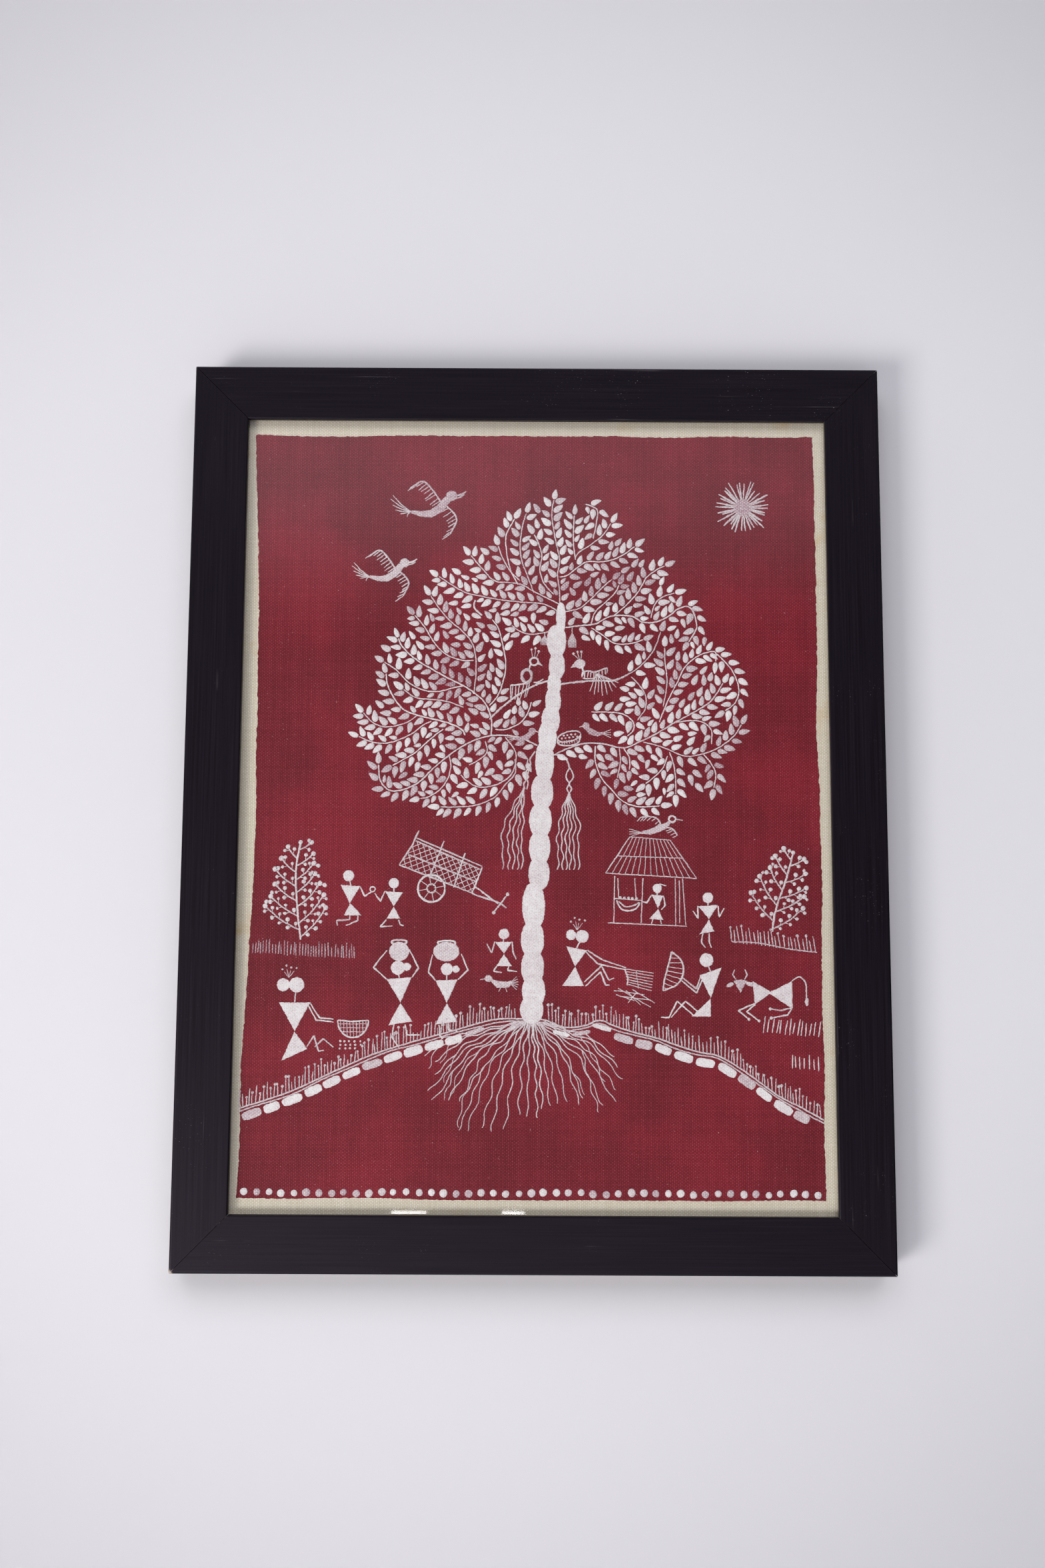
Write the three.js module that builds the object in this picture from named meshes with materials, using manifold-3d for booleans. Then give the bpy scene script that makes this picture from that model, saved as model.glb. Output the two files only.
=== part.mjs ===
// A framed painted cloth: a mitred black frame with glass, the cloth on its board, a packed back held by
// turn buttons, and two ring hangers. Millimetres. +Z is up, the picture faces -Y and the wall is at +Y.
// The origin is on the back face of the top rail, halfway along it.
import * as THREE from 'three';
import { mergeVertices } from 'three/addons/utils/BufferGeometryUtils.js';
import Module from 'manifold-3d';

const wasm = await Module();
wasm.setup();

// ---- driving dimensions ----
const PICTURE_WIDTH = 304.8; // glass, cloth and boards are all cut to this standard 12 x 16 inch size
const PICTURE_HEIGHT = 406.4;
const LIP_OVER_PICTURE = 6; // how far the rail's lip covers the picture on each side
const REBATE_PLAY = 0.8; // room between the picture's edge and the rebate's wall
const RAIL_WIDTH = 27.5;
const RAIL_DEPTH = 18;
const LIP_DEPTH = 3;
const OUTER_ARRIS = 1.2; // radius of the rail's outer front edge
const SIGHT_ARRIS = 0.8; // radius of the rail's front edge beside the picture
const ARRIS_STEPS = 4;
const MITRE_GAP = 0.2; // hairline between two mitred ends
const STACK_GAP = 0.2; // air between two pieces that lie on each other

const GLASS_THICK = 2;
const CLOTH_THICK = 0.7;
const MOUNT_BOARD_THICK = 1.5;
const FILLER_THICK = 6.5;
const BACKING_THICK = 3;
const SHEET_ARRIS = 0.25; // broken edge of the glass and boards

const SCREW_SHANK_R = 1.2;
const SCREW_HEAD_R = 3;
const SCREW_HEAD_HIGH = 1.6;
const SCREW_LENGTH = 11;
const SCREW_TIP = 3;
const RECESS_LONG = 3.4; // the cross in the screw's head
const RECESS_WIDE = 0.7;
const RECESS_DEEP = 0.9;
const PILOT_PLAY = 0.15;
const HOLE_PLAY = 0.3;
const ROUND_SIDES = 14;
const PLATE_STEPS = 7; // facets round a quarter of a pressed plate's edge

const BUTTON_THICK = 1.2;
const BUTTON_PIVOT_R = 5;
const BUTTON_TIP_R = 3.6;
const BUTTON_REACH = 17; // from the pivot to the tip's centre
const BUTTON_FROM_REBATE = 6; // from the pivot to the rebate's wall
const BUTTON_ALONG_SHORT = 72; // each side of the middle of the top and bottom rails
const BUTTON_ALONG_LONG = 66; // each side of the middle of the side rails

const STRAP_SHEET = 0.8; // the strap is this sheet, folded double round the ring's bar
const STRAP_WIDTH = 10;
const STRAP_LENGTH = 37;
const STRAP_END_R = 4;
const STRAP_SCREWS = [22.5, 32]; // below the ring's bar
const HANGER_ABOVE_MIDDLE = 132; // the ring's bar above the picture's middle
const RING_WIRE_R = 1.1;
const RING_PLAY = 0.15; // round the bar, inside the strap's loop
const RING_HALF_WIDTH = 8; // to the wire's middle
const RING_ARM = 8; // straight part of each side
const RING_DROP = 17; // from the bar to the bow's middle
const RING_CORNER = 2.5;
const RING_SPLIT = 0.4; // the wire's two ends meet in the bar with this gap
const RING_STEPS = 48;
const RING_HALF_SIDES = 5; // facets round half the wire
const RING_REST_ANGLE = 5; // degrees that the hanging ring leans off its strap

const VNAIL_WING = 6;
const VNAIL_THICK = 0.6;
const VNAIL_DEEP = 10;
const VNAIL_SUNK = 0.4; // its edge below the rail's back
const VNAIL_PLAY = 0.25;
const VNAIL_FROM_OUTSIDE = [6.5, 14]; // along a rail's width, from its outer edge

const BUMPER_R = 5;
const BUMPER_HIGH = 2.6;
const BUMPER_FROM_END = 34;

// ---- worked out from those ----
const SIGHT_WIDTH = PICTURE_WIDTH - 2 * LIP_OVER_PICTURE;
const SIGHT_HEIGHT = PICTURE_HEIGHT - 2 * LIP_OVER_PICTURE;
const OUTER_WIDTH = SIGHT_WIDTH + 2 * RAIL_WIDTH;
const OUTER_HEIGHT = SIGHT_HEIGHT + 2 * RAIL_WIDTH;
const LIP = LIP_OVER_PICTURE + REBATE_PLAY;
const BACK_WIDTH = RAIL_WIDTH - LIP; // width of a rail's back face
const MIDDLE_DROP = OUTER_HEIGHT / 2 - RAIL_WIDTH / 2; // the picture's middle below the origin
const HALF_WIDTH = OUTER_WIDTH / 2;
const HALF_HEIGHT = OUTER_HEIGHT / 2;
const STRAP_THICK = 2 * STRAP_SHEET;
const LOOP_R = RING_WIRE_R + RING_PLAY + STRAP_SHEET;
const RING_AXIS_Y = STACK_GAP + LOOP_R;
const BUTTON_PIVOT = BACK_WIDTH - BUTTON_FROM_REBATE; // from the rail's outer edge
const QUARTER = Math.PI / 2;

// The four rails share one shape: the top rail's, turned by quarters about the picture's middle.
const RAILS = [
  { side: 'top', turn: 0, half: HALF_HEIGHT, length: OUTER_WIDTH, buttons: BUTTON_ALONG_SHORT },
  { side: 'right', turn: QUARTER, half: HALF_WIDTH, length: OUTER_HEIGHT, buttons: BUTTON_ALONG_LONG },
  { side: 'bottom', turn: 2 * QUARTER, half: HALF_HEIGHT, length: OUTER_WIDTH, buttons: BUTTON_ALONG_SHORT },
  { side: 'left', turn: -QUARTER, half: HALF_WIDTH, length: OUTER_HEIGHT, buttons: BUTTON_ALONG_LONG },
];

const paint = (color, roughness, metalness = 0) =>
  new THREE.MeshStandardMaterial({ color, roughness, metalness });
const BLACK_RAIL = paint(0x1b191a, 0.42);
const GLASS = new THREE.MeshStandardMaterial({
  color: 0xe8f0ee, roughness: 0.04, metalness: 0, transparent: true, opacity: 0.3,
});
const PAINTED_CLOTH = paint(0x7d2130, 0.9);
const WHITE_BOARD = paint(0xe9e6dd, 0.85);
const CORRUGATED = paint(0xb08d62, 0.9);
const HARDBOARD = paint(0x7a5233, 0.7);
const ZINC = paint(0xb9bcc0, 0.35, 0.9);
const STEEL = paint(0x8b8f94, 0.4, 0.9);
const RUBBER = paint(0x202022, 0.8);

// ---- joining and cutting ----
function toSolid(geometry) {
  const bare = geometry.clone();
  bare.deleteAttribute('normal');
  bare.deleteAttribute('uv');
  const merged = mergeVertices(bare, 1e-4);
  return new wasm.Manifold(new wasm.Mesh({
    numProp: 3,
    vertProperties: new Float32Array(merged.attributes.position.array),
    triVerts: new Uint32Array(merged.index.array),
  }));
}

function toGeometry(solid) {
  const mesh = solid.getMesh();
  const geometry = new THREE.BufferGeometry();
  geometry.setAttribute('position', new THREE.BufferAttribute(new Float32Array(mesh.vertProperties), 3));
  geometry.setIndex(new THREE.BufferAttribute(new Uint32Array(mesh.triVerts), 1));
  geometry.computeVertexNormals();
  return geometry;
}

function cut(geometry, cutters) {
  return toGeometry(cutters.reduce((left, cutter) => left.subtract(toSolid(cutter)), toSolid(geometry)));
}

// A cylinder along Y from y = low to y = high.
function roundBar(radius, low, high, x, z) {
  const bar = new THREE.CylinderGeometry(radius, radius, high - low, ROUND_SIDES);
  return bar.translate(x, (low + high) / 2, z);
}

// ---- rails ----
// The rail's section: x runs inwards from the outer edge, y from the back face to the front.
function railSection() {
  const shape = new THREE.Shape();
  shape.moveTo(0, 0);
  shape.lineTo(BACK_WIDTH, 0);
  shape.lineTo(BACK_WIDTH, RAIL_DEPTH - LIP_DEPTH);
  shape.lineTo(RAIL_WIDTH, RAIL_DEPTH - LIP_DEPTH);
  shape.lineTo(RAIL_WIDTH, RAIL_DEPTH - SIGHT_ARRIS);
  shape.absarc(RAIL_WIDTH - SIGHT_ARRIS, RAIL_DEPTH - SIGHT_ARRIS, SIGHT_ARRIS, 0, QUARTER, false);
  shape.lineTo(OUTER_ARRIS, RAIL_DEPTH);
  shape.absarc(OUTER_ARRIS, RAIL_DEPTH - OUTER_ARRIS, OUTER_ARRIS, QUARTER, 2 * QUARTER, false);
  shape.closePath();
  return shape;
}

// The top rail about the picture's middle, its two ends sheared to the mitre.
function railBlank({ half, length }) {
  const blank = new THREE.ExtrudeGeometry(railSection(), {
    depth: length, steps: 1, bevelEnabled: false, curveSegments: ARRIS_STEPS,
  });
  const place = blank.attributes.position;
  const endGap = MITRE_GAP * Math.SQRT1_2;
  for (let i = 0; i < place.count; i += 1) {
    const inwards = place.getX(i);
    const fromEnd = inwards + endGap;
    const along = place.getZ(i) < length / 2 ? fromEnd : length - fromEnd;
    place.setXYZ(i, along - length / 2, -place.getY(i), half - inwards);
  }
  // x, y, z above are a mirrored copy of the extrusion's own axes, so the triangles are turned round.
  return flipped(blank);
}

function flipped(geometry) {
  const place = geometry.attributes.position;
  for (let i = 0; i < place.count; i += 3) {
    const [x, y, z] = [place.getX(i), place.getY(i), place.getZ(i)];
    place.setXYZ(i, place.getX(i + 1), place.getY(i + 1), place.getZ(i + 1));
    place.setXYZ(i + 1, x, y, z);
  }
  return geometry;
}

// A V-nail's outline in the top rail's plane: two wings along the two rails, meeting on the mitre.
// play widens it into the slot that it sits in.
function vnailShape(play) {
  const inner = VNAIL_THICK / 2 + play;
  const wing = VNAIL_WING + play;
  const shape = new THREE.Shape();
  shape.moveTo(-wing, inner);
  shape.lineTo(inner, inner);
  shape.lineTo(inner, -wing);
  shape.lineTo(-inner, -wing);
  shape.lineTo(-inner, -inner);
  shape.lineTo(-wing, -inner);
  shape.closePath();
  return shape;
}

// The nail at a top right-hand corner, from its sunk edge down into the rails.
function vnail({ x, z, mirror, play = 0 }) {
  const top = play ? 1 : -VNAIL_SUNK;
  const low = -VNAIL_SUNK - VNAIL_DEEP - play;
  const nail = new THREE.ExtrudeGeometry(vnailShape(play), { depth: top - low, bevelEnabled: false });
  nail.rotateX(QUARTER); // the outline's y becomes z, and the extrusion runs towards -y
  nail.translate(0, top, 0);
  nail.rotateY(mirror ? -QUARTER : 0);
  return nail.translate(x, 0, z);
}

// Both corners of a top rail: where its V-nails cross the mitre.
function vnailPlaces({ half, length }) {
  return VNAIL_FROM_OUTSIDE.flatMap((inwards) => [
    { x: length / 2 - inwards, z: half - inwards, mirror: false },
    { x: inwards - length / 2, z: half - inwards, mirror: true },
  ]);
}

// The strap screws of the two side rails, along the rail from its middle.
function strapScrewPlaces({ side, half }) {
  const towardsTop = { right: -1, left: 1 }[side];
  const along = (drop) => (towardsTop ? towardsTop * (HANGER_ABOVE_MIDDLE - drop) : null);
  return STRAP_SCREWS.map(along).filter((x) => x !== null).map((x) => ({ x, z: half - BACK_WIDTH / 2 }));
}

function buttonPlaces({ half, buttons }) {
  return [-buttons, buttons].map((x) => ({ x, z: half - BUTTON_PIVOT }));
}

function rail(spec) {
  const pilot = ({ x, z }) => roundBar(SCREW_SHANK_R + PILOT_PLAY, -SCREW_LENGTH - 1, 1, x, z);
  const slots = vnailPlaces(spec).map((place) => vnail({ ...place, play: VNAIL_PLAY }));
  const pilots = [...buttonPlaces(spec), ...strapScrewPlaces(spec)].map(pilot);
  return cut(railBlank(spec), [...slots, ...pilots]);
}

// ---- glass, cloth and boards ----
function flatSheet(thick) {
  const across = PICTURE_WIDTH / 2 - SHEET_ARRIS;
  const up = PICTURE_HEIGHT / 2 - SHEET_ARRIS;
  const outline = new THREE.Shape([
    new THREE.Vector2(-across, -up), new THREE.Vector2(across, -up),
    new THREE.Vector2(across, up), new THREE.Vector2(-across, up),
  ]);
  const sheet = new THREE.ExtrudeGeometry(outline, {
    depth: thick - 2 * SHEET_ARRIS, bevelEnabled: true, bevelSegments: 1,
    bevelSize: SHEET_ARRIS, bevelThickness: SHEET_ARRIS,
  });
  sheet.translate(0, 0, SHEET_ARRIS);
  return sheet.rotateX(QUARTER); // its back is at y = 0 and its front at y = -thick
}

// ---- screws, buttons and hangers ----
// A pan-head screw on the y axis: its head's seat is at y = 0 and its shank goes to -y.
function screw() {
  const profile = [
    [0, -SCREW_LENGTH], [SCREW_SHANK_R, SCREW_TIP - SCREW_LENGTH], [SCREW_SHANK_R, 0], [SCREW_HEAD_R, 0],
    [SCREW_HEAD_R, SCREW_HEAD_HIGH * 0.45], [SCREW_HEAD_R * 0.8, SCREW_HEAD_HIGH * 0.85],
    [SCREW_HEAD_R * 0.4, SCREW_HEAD_HIGH], [0, SCREW_HEAD_HIGH],
  ];
  const body = new THREE.LatheGeometry(profile.map(([r, y]) => new THREE.Vector2(r, y)), ROUND_SIDES);
  const deep = RECESS_DEEP + 1;
  const lift = SCREW_HEAD_HIGH - RECESS_DEEP + deep / 2;
  const bars = [[RECESS_LONG, RECESS_WIDE], [RECESS_WIDE, RECESS_LONG]];
  return cut(body, bars.map(([wide, long]) => new THREE.BoxGeometry(wide, deep, long).translate(0, lift, 0)));
}

// A turn button: its pivot on the y axis, its tip towards -z.
function turnButton() {
  const lean = Math.asin((BUTTON_PIVOT_R - BUTTON_TIP_R) / BUTTON_REACH);
  const outline = new THREE.Shape();
  outline.absarc(0, 0, BUTTON_PIVOT_R, Math.PI + lean, -lean, true);
  outline.absarc(0, -BUTTON_REACH, BUTTON_TIP_R, -lean, Math.PI + lean, true);
  outline.closePath();
  const hole = new THREE.Path();
  hole.absarc(0, 0, SCREW_SHANK_R + HOLE_PLAY, 0, 2 * Math.PI, false);
  outline.holes.push(hole);
  const plate = new THREE.ExtrudeGeometry(outline, {
    depth: BUTTON_THICK, bevelEnabled: false, curveSegments: PLATE_STEPS,
  });
  return plate.rotateX(QUARTER).translate(0, BUTTON_THICK, 0);
}

// The strap seen from its side: a double sheet with the loop for the ring's bar at its upper end.
function strapSection() {
  const near = -LOOP_R;
  const far = near + STRAP_THICK;
  const joint = Math.atan2(-Math.sqrt(LOOP_R ** 2 - far ** 2), far);
  const section = new THREE.Shape();
  section.moveTo(near, -STRAP_LENGTH);
  section.lineTo(near, 0);
  section.absarc(0, 0, LOOP_R, Math.PI, joint, true);
  section.lineTo(far, -STRAP_LENGTH);
  section.closePath();
  const bar = new THREE.Path();
  bar.absarc(0, 0, RING_WIRE_R + RING_PLAY, 0, 2 * Math.PI, false);
  section.holes.push(bar);
  return section;
}

// The strap seen from behind: straight sides with a round lower end.
function strapOutline() {
  const half = STRAP_WIDTH / 2;
  const low = -STRAP_LENGTH;
  const outline = new THREE.Shape();
  outline.moveTo(-half, LOOP_R + 1);
  outline.lineTo(-half, low + STRAP_END_R);
  outline.absarc(STRAP_END_R - half, low + STRAP_END_R, STRAP_END_R, Math.PI, 3 * QUARTER, false);
  outline.absarc(half - STRAP_END_R, low + STRAP_END_R, STRAP_END_R, -QUARTER, 0, false);
  outline.lineTo(half, LOOP_R + 1);
  outline.closePath();
  return outline;
}

// The whole strap, with the ring's bar on the x axis.
function strap() {
  const folded = new THREE.ExtrudeGeometry(strapSection(), {
    depth: STRAP_WIDTH + 2, bevelEnabled: false, curveSegments: PLATE_STEPS,
  });
  folded.translate(0, 0, -STRAP_WIDTH / 2 - 1);
  folded.applyMatrix4(new THREE.Matrix4().makeBasis(
    new THREE.Vector3(0, 1, 0), new THREE.Vector3(0, 0, 1), new THREE.Vector3(1, 0, 0),
  ));
  const face = new THREE.ExtrudeGeometry(strapOutline(), {
    depth: 4 * LOOP_R, bevelEnabled: false, curveSegments: ARRIS_STEPS,
  });
  face.rotateX(QUARTER).translate(0, 2 * LOOP_R, 0);
  const shaped = toGeometry(toSolid(folded).intersect(toSolid(face)));
  const hole = (drop) => roundBar(SCREW_SHANK_R + HOLE_PLAY, -2 * LOOP_R, LOOP_R, 0, -drop);
  return cut(shaped, STRAP_SCREWS.map(hole));
}

// The D ring's wire: out along the bar, down one side, round the bow and back.
function ringPath() {
  const a = RING_HALF_WIDTH;
  const point = (x, z) => new THREE.Vector3(x, 0, z);
  const side = (sign) => [
    new THREE.LineCurve3(point((sign * RING_SPLIT) / 2, 0), point(sign * (a - RING_CORNER), 0)),
    new THREE.QuadraticBezierCurve3(
      point(sign * (a - RING_CORNER), 0), point(sign * a, 0), point(sign * a, -RING_CORNER),
    ),
    new THREE.LineCurve3(point(sign * a, -RING_CORNER), point(sign * a, -RING_ARM)),
    new THREE.CubicBezierCurve3(
      point(sign * a, -RING_ARM), point(sign * a, -RING_ARM - (RING_DROP - RING_ARM) * 0.55),
      point(sign * a * 0.55, -RING_DROP), point(0, -RING_DROP),
    ),
  ];
  const path = new THREE.CurvePath();
  side(1).forEach((curve) => path.add(curve));
  side(-1).reverse().forEach((curve) => path.add(reversed(curve)));
  return path;
}

function reversed(curve) {
  const ends = ['v0', 'v1', 'v2', 'v3'].filter((name) => curve[name]).map((name) => curve[name]);
  return new curve.constructor(...ends.reverse());
}

function ring() {
  const section = new THREE.Shape();
  section.absarc(0, 0, RING_WIRE_R, 0, 2 * Math.PI, false);
  const wire = new THREE.ExtrudeGeometry(section, {
    steps: RING_STEPS, extrudePath: ringPath(), curveSegments: RING_HALF_SIDES, bevelEnabled: false,
  });
  return wire.rotateX(THREE.MathUtils.degToRad(RING_REST_ANGLE));
}

// A soft round bumper on the y axis, standing off the rail towards the wall.
function bumper() {
  const profile = [
    [0, 0], [BUMPER_R, 0], [BUMPER_R * 0.94, BUMPER_HIGH * 0.5],
    [BUMPER_R * 0.7, BUMPER_HIGH * 0.88], [BUMPER_R * 0.36, BUMPER_HIGH], [0, BUMPER_HIGH],
  ];
  return new THREE.LatheGeometry(profile.map(([r, y]) => new THREE.Vector2(r, y)), ROUND_SIDES);
}

// ---- assembly ----
const picture = new THREE.Group(); // its zero is the picture's middle, on the plane of the rails' backs
picture.position.set(0, 0, -MIDDLE_DROP);

function add(parent, name, geometry, material, x = 0, y = 0, z = 0) {
  const mesh = new THREE.Mesh(geometry, material);
  mesh.name = name;
  mesh.position.set(x, y, z);
  parent.add(mesh);
}

function addSheets() {
  const sheets = [
    ['glass_pane', GLASS_THICK, GLASS],
    ['painted_cloth', CLOTH_THICK, PAINTED_CLOTH],
    ['mount_board', MOUNT_BOARD_THICK, WHITE_BOARD],
    ['filler_board', FILLER_THICK, CORRUGATED],
    ['backing_board', BACKING_THICK, HARDBOARD],
  ];
  let front = LIP_DEPTH - RAIL_DEPTH;
  for (const [name, thick, material] of sheets) {
    front += STACK_GAP + thick;
    add(picture, name, flatSheet(thick), material, 0, front, 0);
  }
}

// One rail with its own turn buttons and their screws, in a group turned to its side.
function addRail(spec) {
  const quarter = new THREE.Group();
  quarter.rotation.y = spec.turn;
  picture.add(quarter);
  add(quarter, `rail_${spec.side}`, rail(spec), BLACK_RAIL);
  buttonPlaces(spec).forEach(({ x, z }, i) => {
    const seat = 2 * STACK_GAP + BUTTON_THICK;
    add(quarter, `turn_button_${spec.side}_${i + 1}`, turnButton(), ZINC, x, STACK_GAP, z);
    add(quarter, `turn_button_screw_${spec.side}_${i + 1}`, screw(), STEEL, x, seat, z);
  });
}

// Each corner's two V-nails, named from outside to inside.
function addVnails() {
  const corners = [
    { turn: 0, name: 'top_right', spec: RAILS[0] },
    { turn: QUARTER, name: 'bottom_right', spec: RAILS[1] },
    { turn: 2 * QUARTER, name: 'bottom_left', spec: RAILS[2] },
    { turn: -QUARTER, name: 'top_left', spec: RAILS[3] },
  ];
  for (const { turn, name, spec } of corners) {
    const quarter = new THREE.Group();
    quarter.rotation.y = turn;
    picture.add(quarter);
    vnailPlaces(spec).filter(({ mirror }) => !mirror).forEach((place, i) => {
      add(quarter, `corner_nail_${name}_${i + 1}`, vnail(place), STEEL);
    });
  }
}

function addHangers() {
  for (const [name, sign] of [['left', -1], ['right', 1]]) {
    const x = sign * (HALF_WIDTH - BACK_WIDTH / 2);
    add(picture, `hanger_strap_${name}`, strap(), ZINC, x, RING_AXIS_Y, HANGER_ABOVE_MIDDLE);
    add(picture, `hanger_ring_${name}`, ring(), ZINC, x, RING_AXIS_Y, HANGER_ABOVE_MIDDLE);
    STRAP_SCREWS.forEach((drop, i) => {
      const seat = 2 * STACK_GAP + STRAP_THICK;
      add(picture, `hanger_screw_${name}_${i + 1}`, screw(), STEEL, x, seat, HANGER_ABOVE_MIDDLE - drop);
    });
  }
}

function addBumpers() {
  for (const [name, sign] of [['left', -1], ['right', 1]]) {
    const x = sign * (HALF_WIDTH - BUMPER_FROM_END);
    add(picture, `wall_bumper_${name}`, bumper(), RUBBER, x, STACK_GAP, BACK_WIDTH / 2 - HALF_HEIGHT);
  }
}

RAILS.forEach(addRail);
addSheets();
addVnails();
addHangers();
addBumpers();

const group = new THREE.Group();
group.add(picture);
export default group;
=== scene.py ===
# %% [markdown]
# # A painted cloth in a black frame
#
# The object is a picture: a cotton cloth painted dark red, with a tree of life and a village brushed on it
# in white, behind glass, in a flat black mitred frame. This lesson dresses a fixed mechanical model of it.
# The rails, the glass, the back and the hardware keep their shapes and get finishes. The cloth is made
# again as cloth, and the painting is made as paint: thin raised dabs and brush lines that lie on it.

# %% Load the fixed frame and take its measures
import math
import random

import bpy
from mathutils import Matrix, Vector, noise


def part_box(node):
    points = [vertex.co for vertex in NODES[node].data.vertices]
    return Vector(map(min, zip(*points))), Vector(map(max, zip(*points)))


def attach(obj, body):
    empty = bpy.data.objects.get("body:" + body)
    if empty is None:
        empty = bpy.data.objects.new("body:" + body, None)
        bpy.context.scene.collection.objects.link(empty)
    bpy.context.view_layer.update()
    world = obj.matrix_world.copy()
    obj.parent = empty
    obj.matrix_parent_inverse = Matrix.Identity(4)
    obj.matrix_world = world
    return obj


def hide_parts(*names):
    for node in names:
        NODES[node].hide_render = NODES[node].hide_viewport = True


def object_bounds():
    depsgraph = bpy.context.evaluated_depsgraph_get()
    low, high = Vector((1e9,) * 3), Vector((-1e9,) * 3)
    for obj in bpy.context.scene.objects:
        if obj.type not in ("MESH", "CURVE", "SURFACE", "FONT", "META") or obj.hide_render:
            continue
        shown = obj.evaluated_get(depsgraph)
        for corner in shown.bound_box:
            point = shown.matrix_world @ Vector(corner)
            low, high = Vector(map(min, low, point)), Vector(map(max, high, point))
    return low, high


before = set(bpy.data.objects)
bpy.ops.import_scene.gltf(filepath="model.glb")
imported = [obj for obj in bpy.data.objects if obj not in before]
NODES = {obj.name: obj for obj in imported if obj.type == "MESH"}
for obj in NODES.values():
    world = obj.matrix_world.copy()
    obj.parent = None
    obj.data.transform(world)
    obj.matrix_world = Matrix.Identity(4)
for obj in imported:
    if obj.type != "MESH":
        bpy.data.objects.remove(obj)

CAD_BOX = [list(corner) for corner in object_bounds()]
MM = 0.001

pane_low, pane_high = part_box("glass_pane")
MIDDLE = (pane_low + pane_high) / 2
FRONT_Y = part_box("rail_top")[0].y
HEIGHT = CAD_BOX[1][2] - CAD_BOX[0][2]
print("outer size in mm:", [round((b - a) / MM, 1) for a, b in zip(*CAD_BOX)])

# %% [markdown]
# ## The camera and the room
#
# The camera is a 35 mm lens a little below the middle of the picture, tipped up at it. Its place is given in
# frame heights, so that it follows the frame's size. The picture hangs on a pale wall, which takes its soft
# shadow. The wall shows only from its front, and takes no part in shadows or bounced light, so the back of
# the picture can be looked at and lit as well.

# %% Camera
CAMERA_RIGHT, CAMERA_AWAY, CAMERA_UP = -0.016, 1.664, -0.169
LOOK = Vector((0.0012, 0.9933, 0.1154)).normalized()
LEVEL = Vector((1.0, -0.0017, 0.0048))

camera_data = bpy.data.cameras.new("camera")
camera_data.lens = 35
camera_data.sensor_width = 36
camera_data.clip_start = 0.01
camera = bpy.data.objects.new("camera", camera_data)
bpy.context.scene.collection.objects.link(camera)
across = (LEVEL - LOOK * LEVEL.dot(LOOK)).normalized()
turn = Matrix((across, across.cross(LOOK), -LOOK)).transposed()
stand = Vector((MIDDLE.x, FRONT_Y, MIDDLE.z)) + HEIGHT * Vector((CAMERA_RIGHT, -CAMERA_AWAY, CAMERA_UP))
camera.matrix_world = Matrix.Translation(stand) @ turn.to_4x4()
bpy.context.scene.camera = camera
print("camera at", [round(v, 3) for v in stand])


# %% [markdown]
# ## Two helpers for node trees
#
# Every finish and every Geometry Nodes tree below is wired by script. One helper adds a node, sets its
# options and feeds its inputs, whether with numbers or with other nodes' outputs. The other does arithmetic.

# %% Helpers that add nodes
def node(tree, kind, inputs=None, **options):
    made = tree.nodes.new(kind)
    for key, value in options.items():
        setattr(made, key, value)
    for key, value in (inputs or {}).items():
        if isinstance(value, bpy.types.NodeSocket):
            tree.links.new(value, made.inputs[key])
        else:
            made.inputs[key].default_value = value
    return made


def maths(tree, operation, *values, clamp=False):
    made = node(tree, "ShaderNodeMath", dict(enumerate(values)), operation=operation, use_clamp=clamp)
    return made.outputs[0]


def times(tree, first, *others):
    """The product of them all."""
    for other in others:
        first = maths(tree, "MULTIPLY", first, other)
    return first


def ramp(tree, value, low, high, to_low=0.0, to_high=1.0):
    """A smooth step from one level to another while the value goes from low to high."""
    inputs = {"Value": value, "From Min": low, "From Max": high, "To Min": to_low, "To Max": to_high}
    return node(tree, "ShaderNodeMapRange", inputs, interpolation_type="SMOOTHSTEP").outputs["Result"]


def mix(tree, factor, first, second):
    made = node(tree, "ShaderNodeMix", {0: factor, 6: first, 7: second}, data_type="RGBA")
    return made.outputs[2]


def speckle(tree, where, scale, detail=2.0, rough=0.5):
    inputs = {"Vector": where, "Scale": scale, "Detail": detail, "Roughness": rough}
    return node(tree, "ShaderNodeTexNoise", inputs).outputs["Fac"]


def stretched(tree, scale=(1, 1, 1)):
    """Object coordinates, in metres, multiplied by the scale along each axis."""
    place = node(tree, "ShaderNodeTexCoord").outputs["Object"]
    return node(tree, "ShaderNodeMapping", {"Vector": place, "Scale": scale}).outputs["Vector"]


def axes_of(tree, vector):
    return node(tree, "ShaderNodeSeparateXYZ", {0: vector}).outputs


def distance(tree, first, second):
    return node(tree, "ShaderNodeVectorMath", {0: first, 1: second}, operation="DISTANCE").outputs["Value"]


def new_finish(name, **fixed):
    finish = bpy.data.materials.new(name)
    finish.use_nodes = True
    tree = finish.node_tree
    surface = tree.nodes["Principled BSDF"]
    for key, value in fixed.items():
        surface.inputs[key.replace("_", " ")].default_value = value
    return finish, tree, surface


def raise_bump(tree, surface, height, distance, strength=1.0):
    bump = node(tree, "ShaderNodeBump", {"Height": height, "Distance": distance, "Strength": strength})
    tree.links.new(bump.outputs["Normal"], surface.inputs["Normal"])


print("helpers: node, maths, times, ramp, mix, speckle, stretched, axes_of, distance, new_finish, raise_bump")
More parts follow.
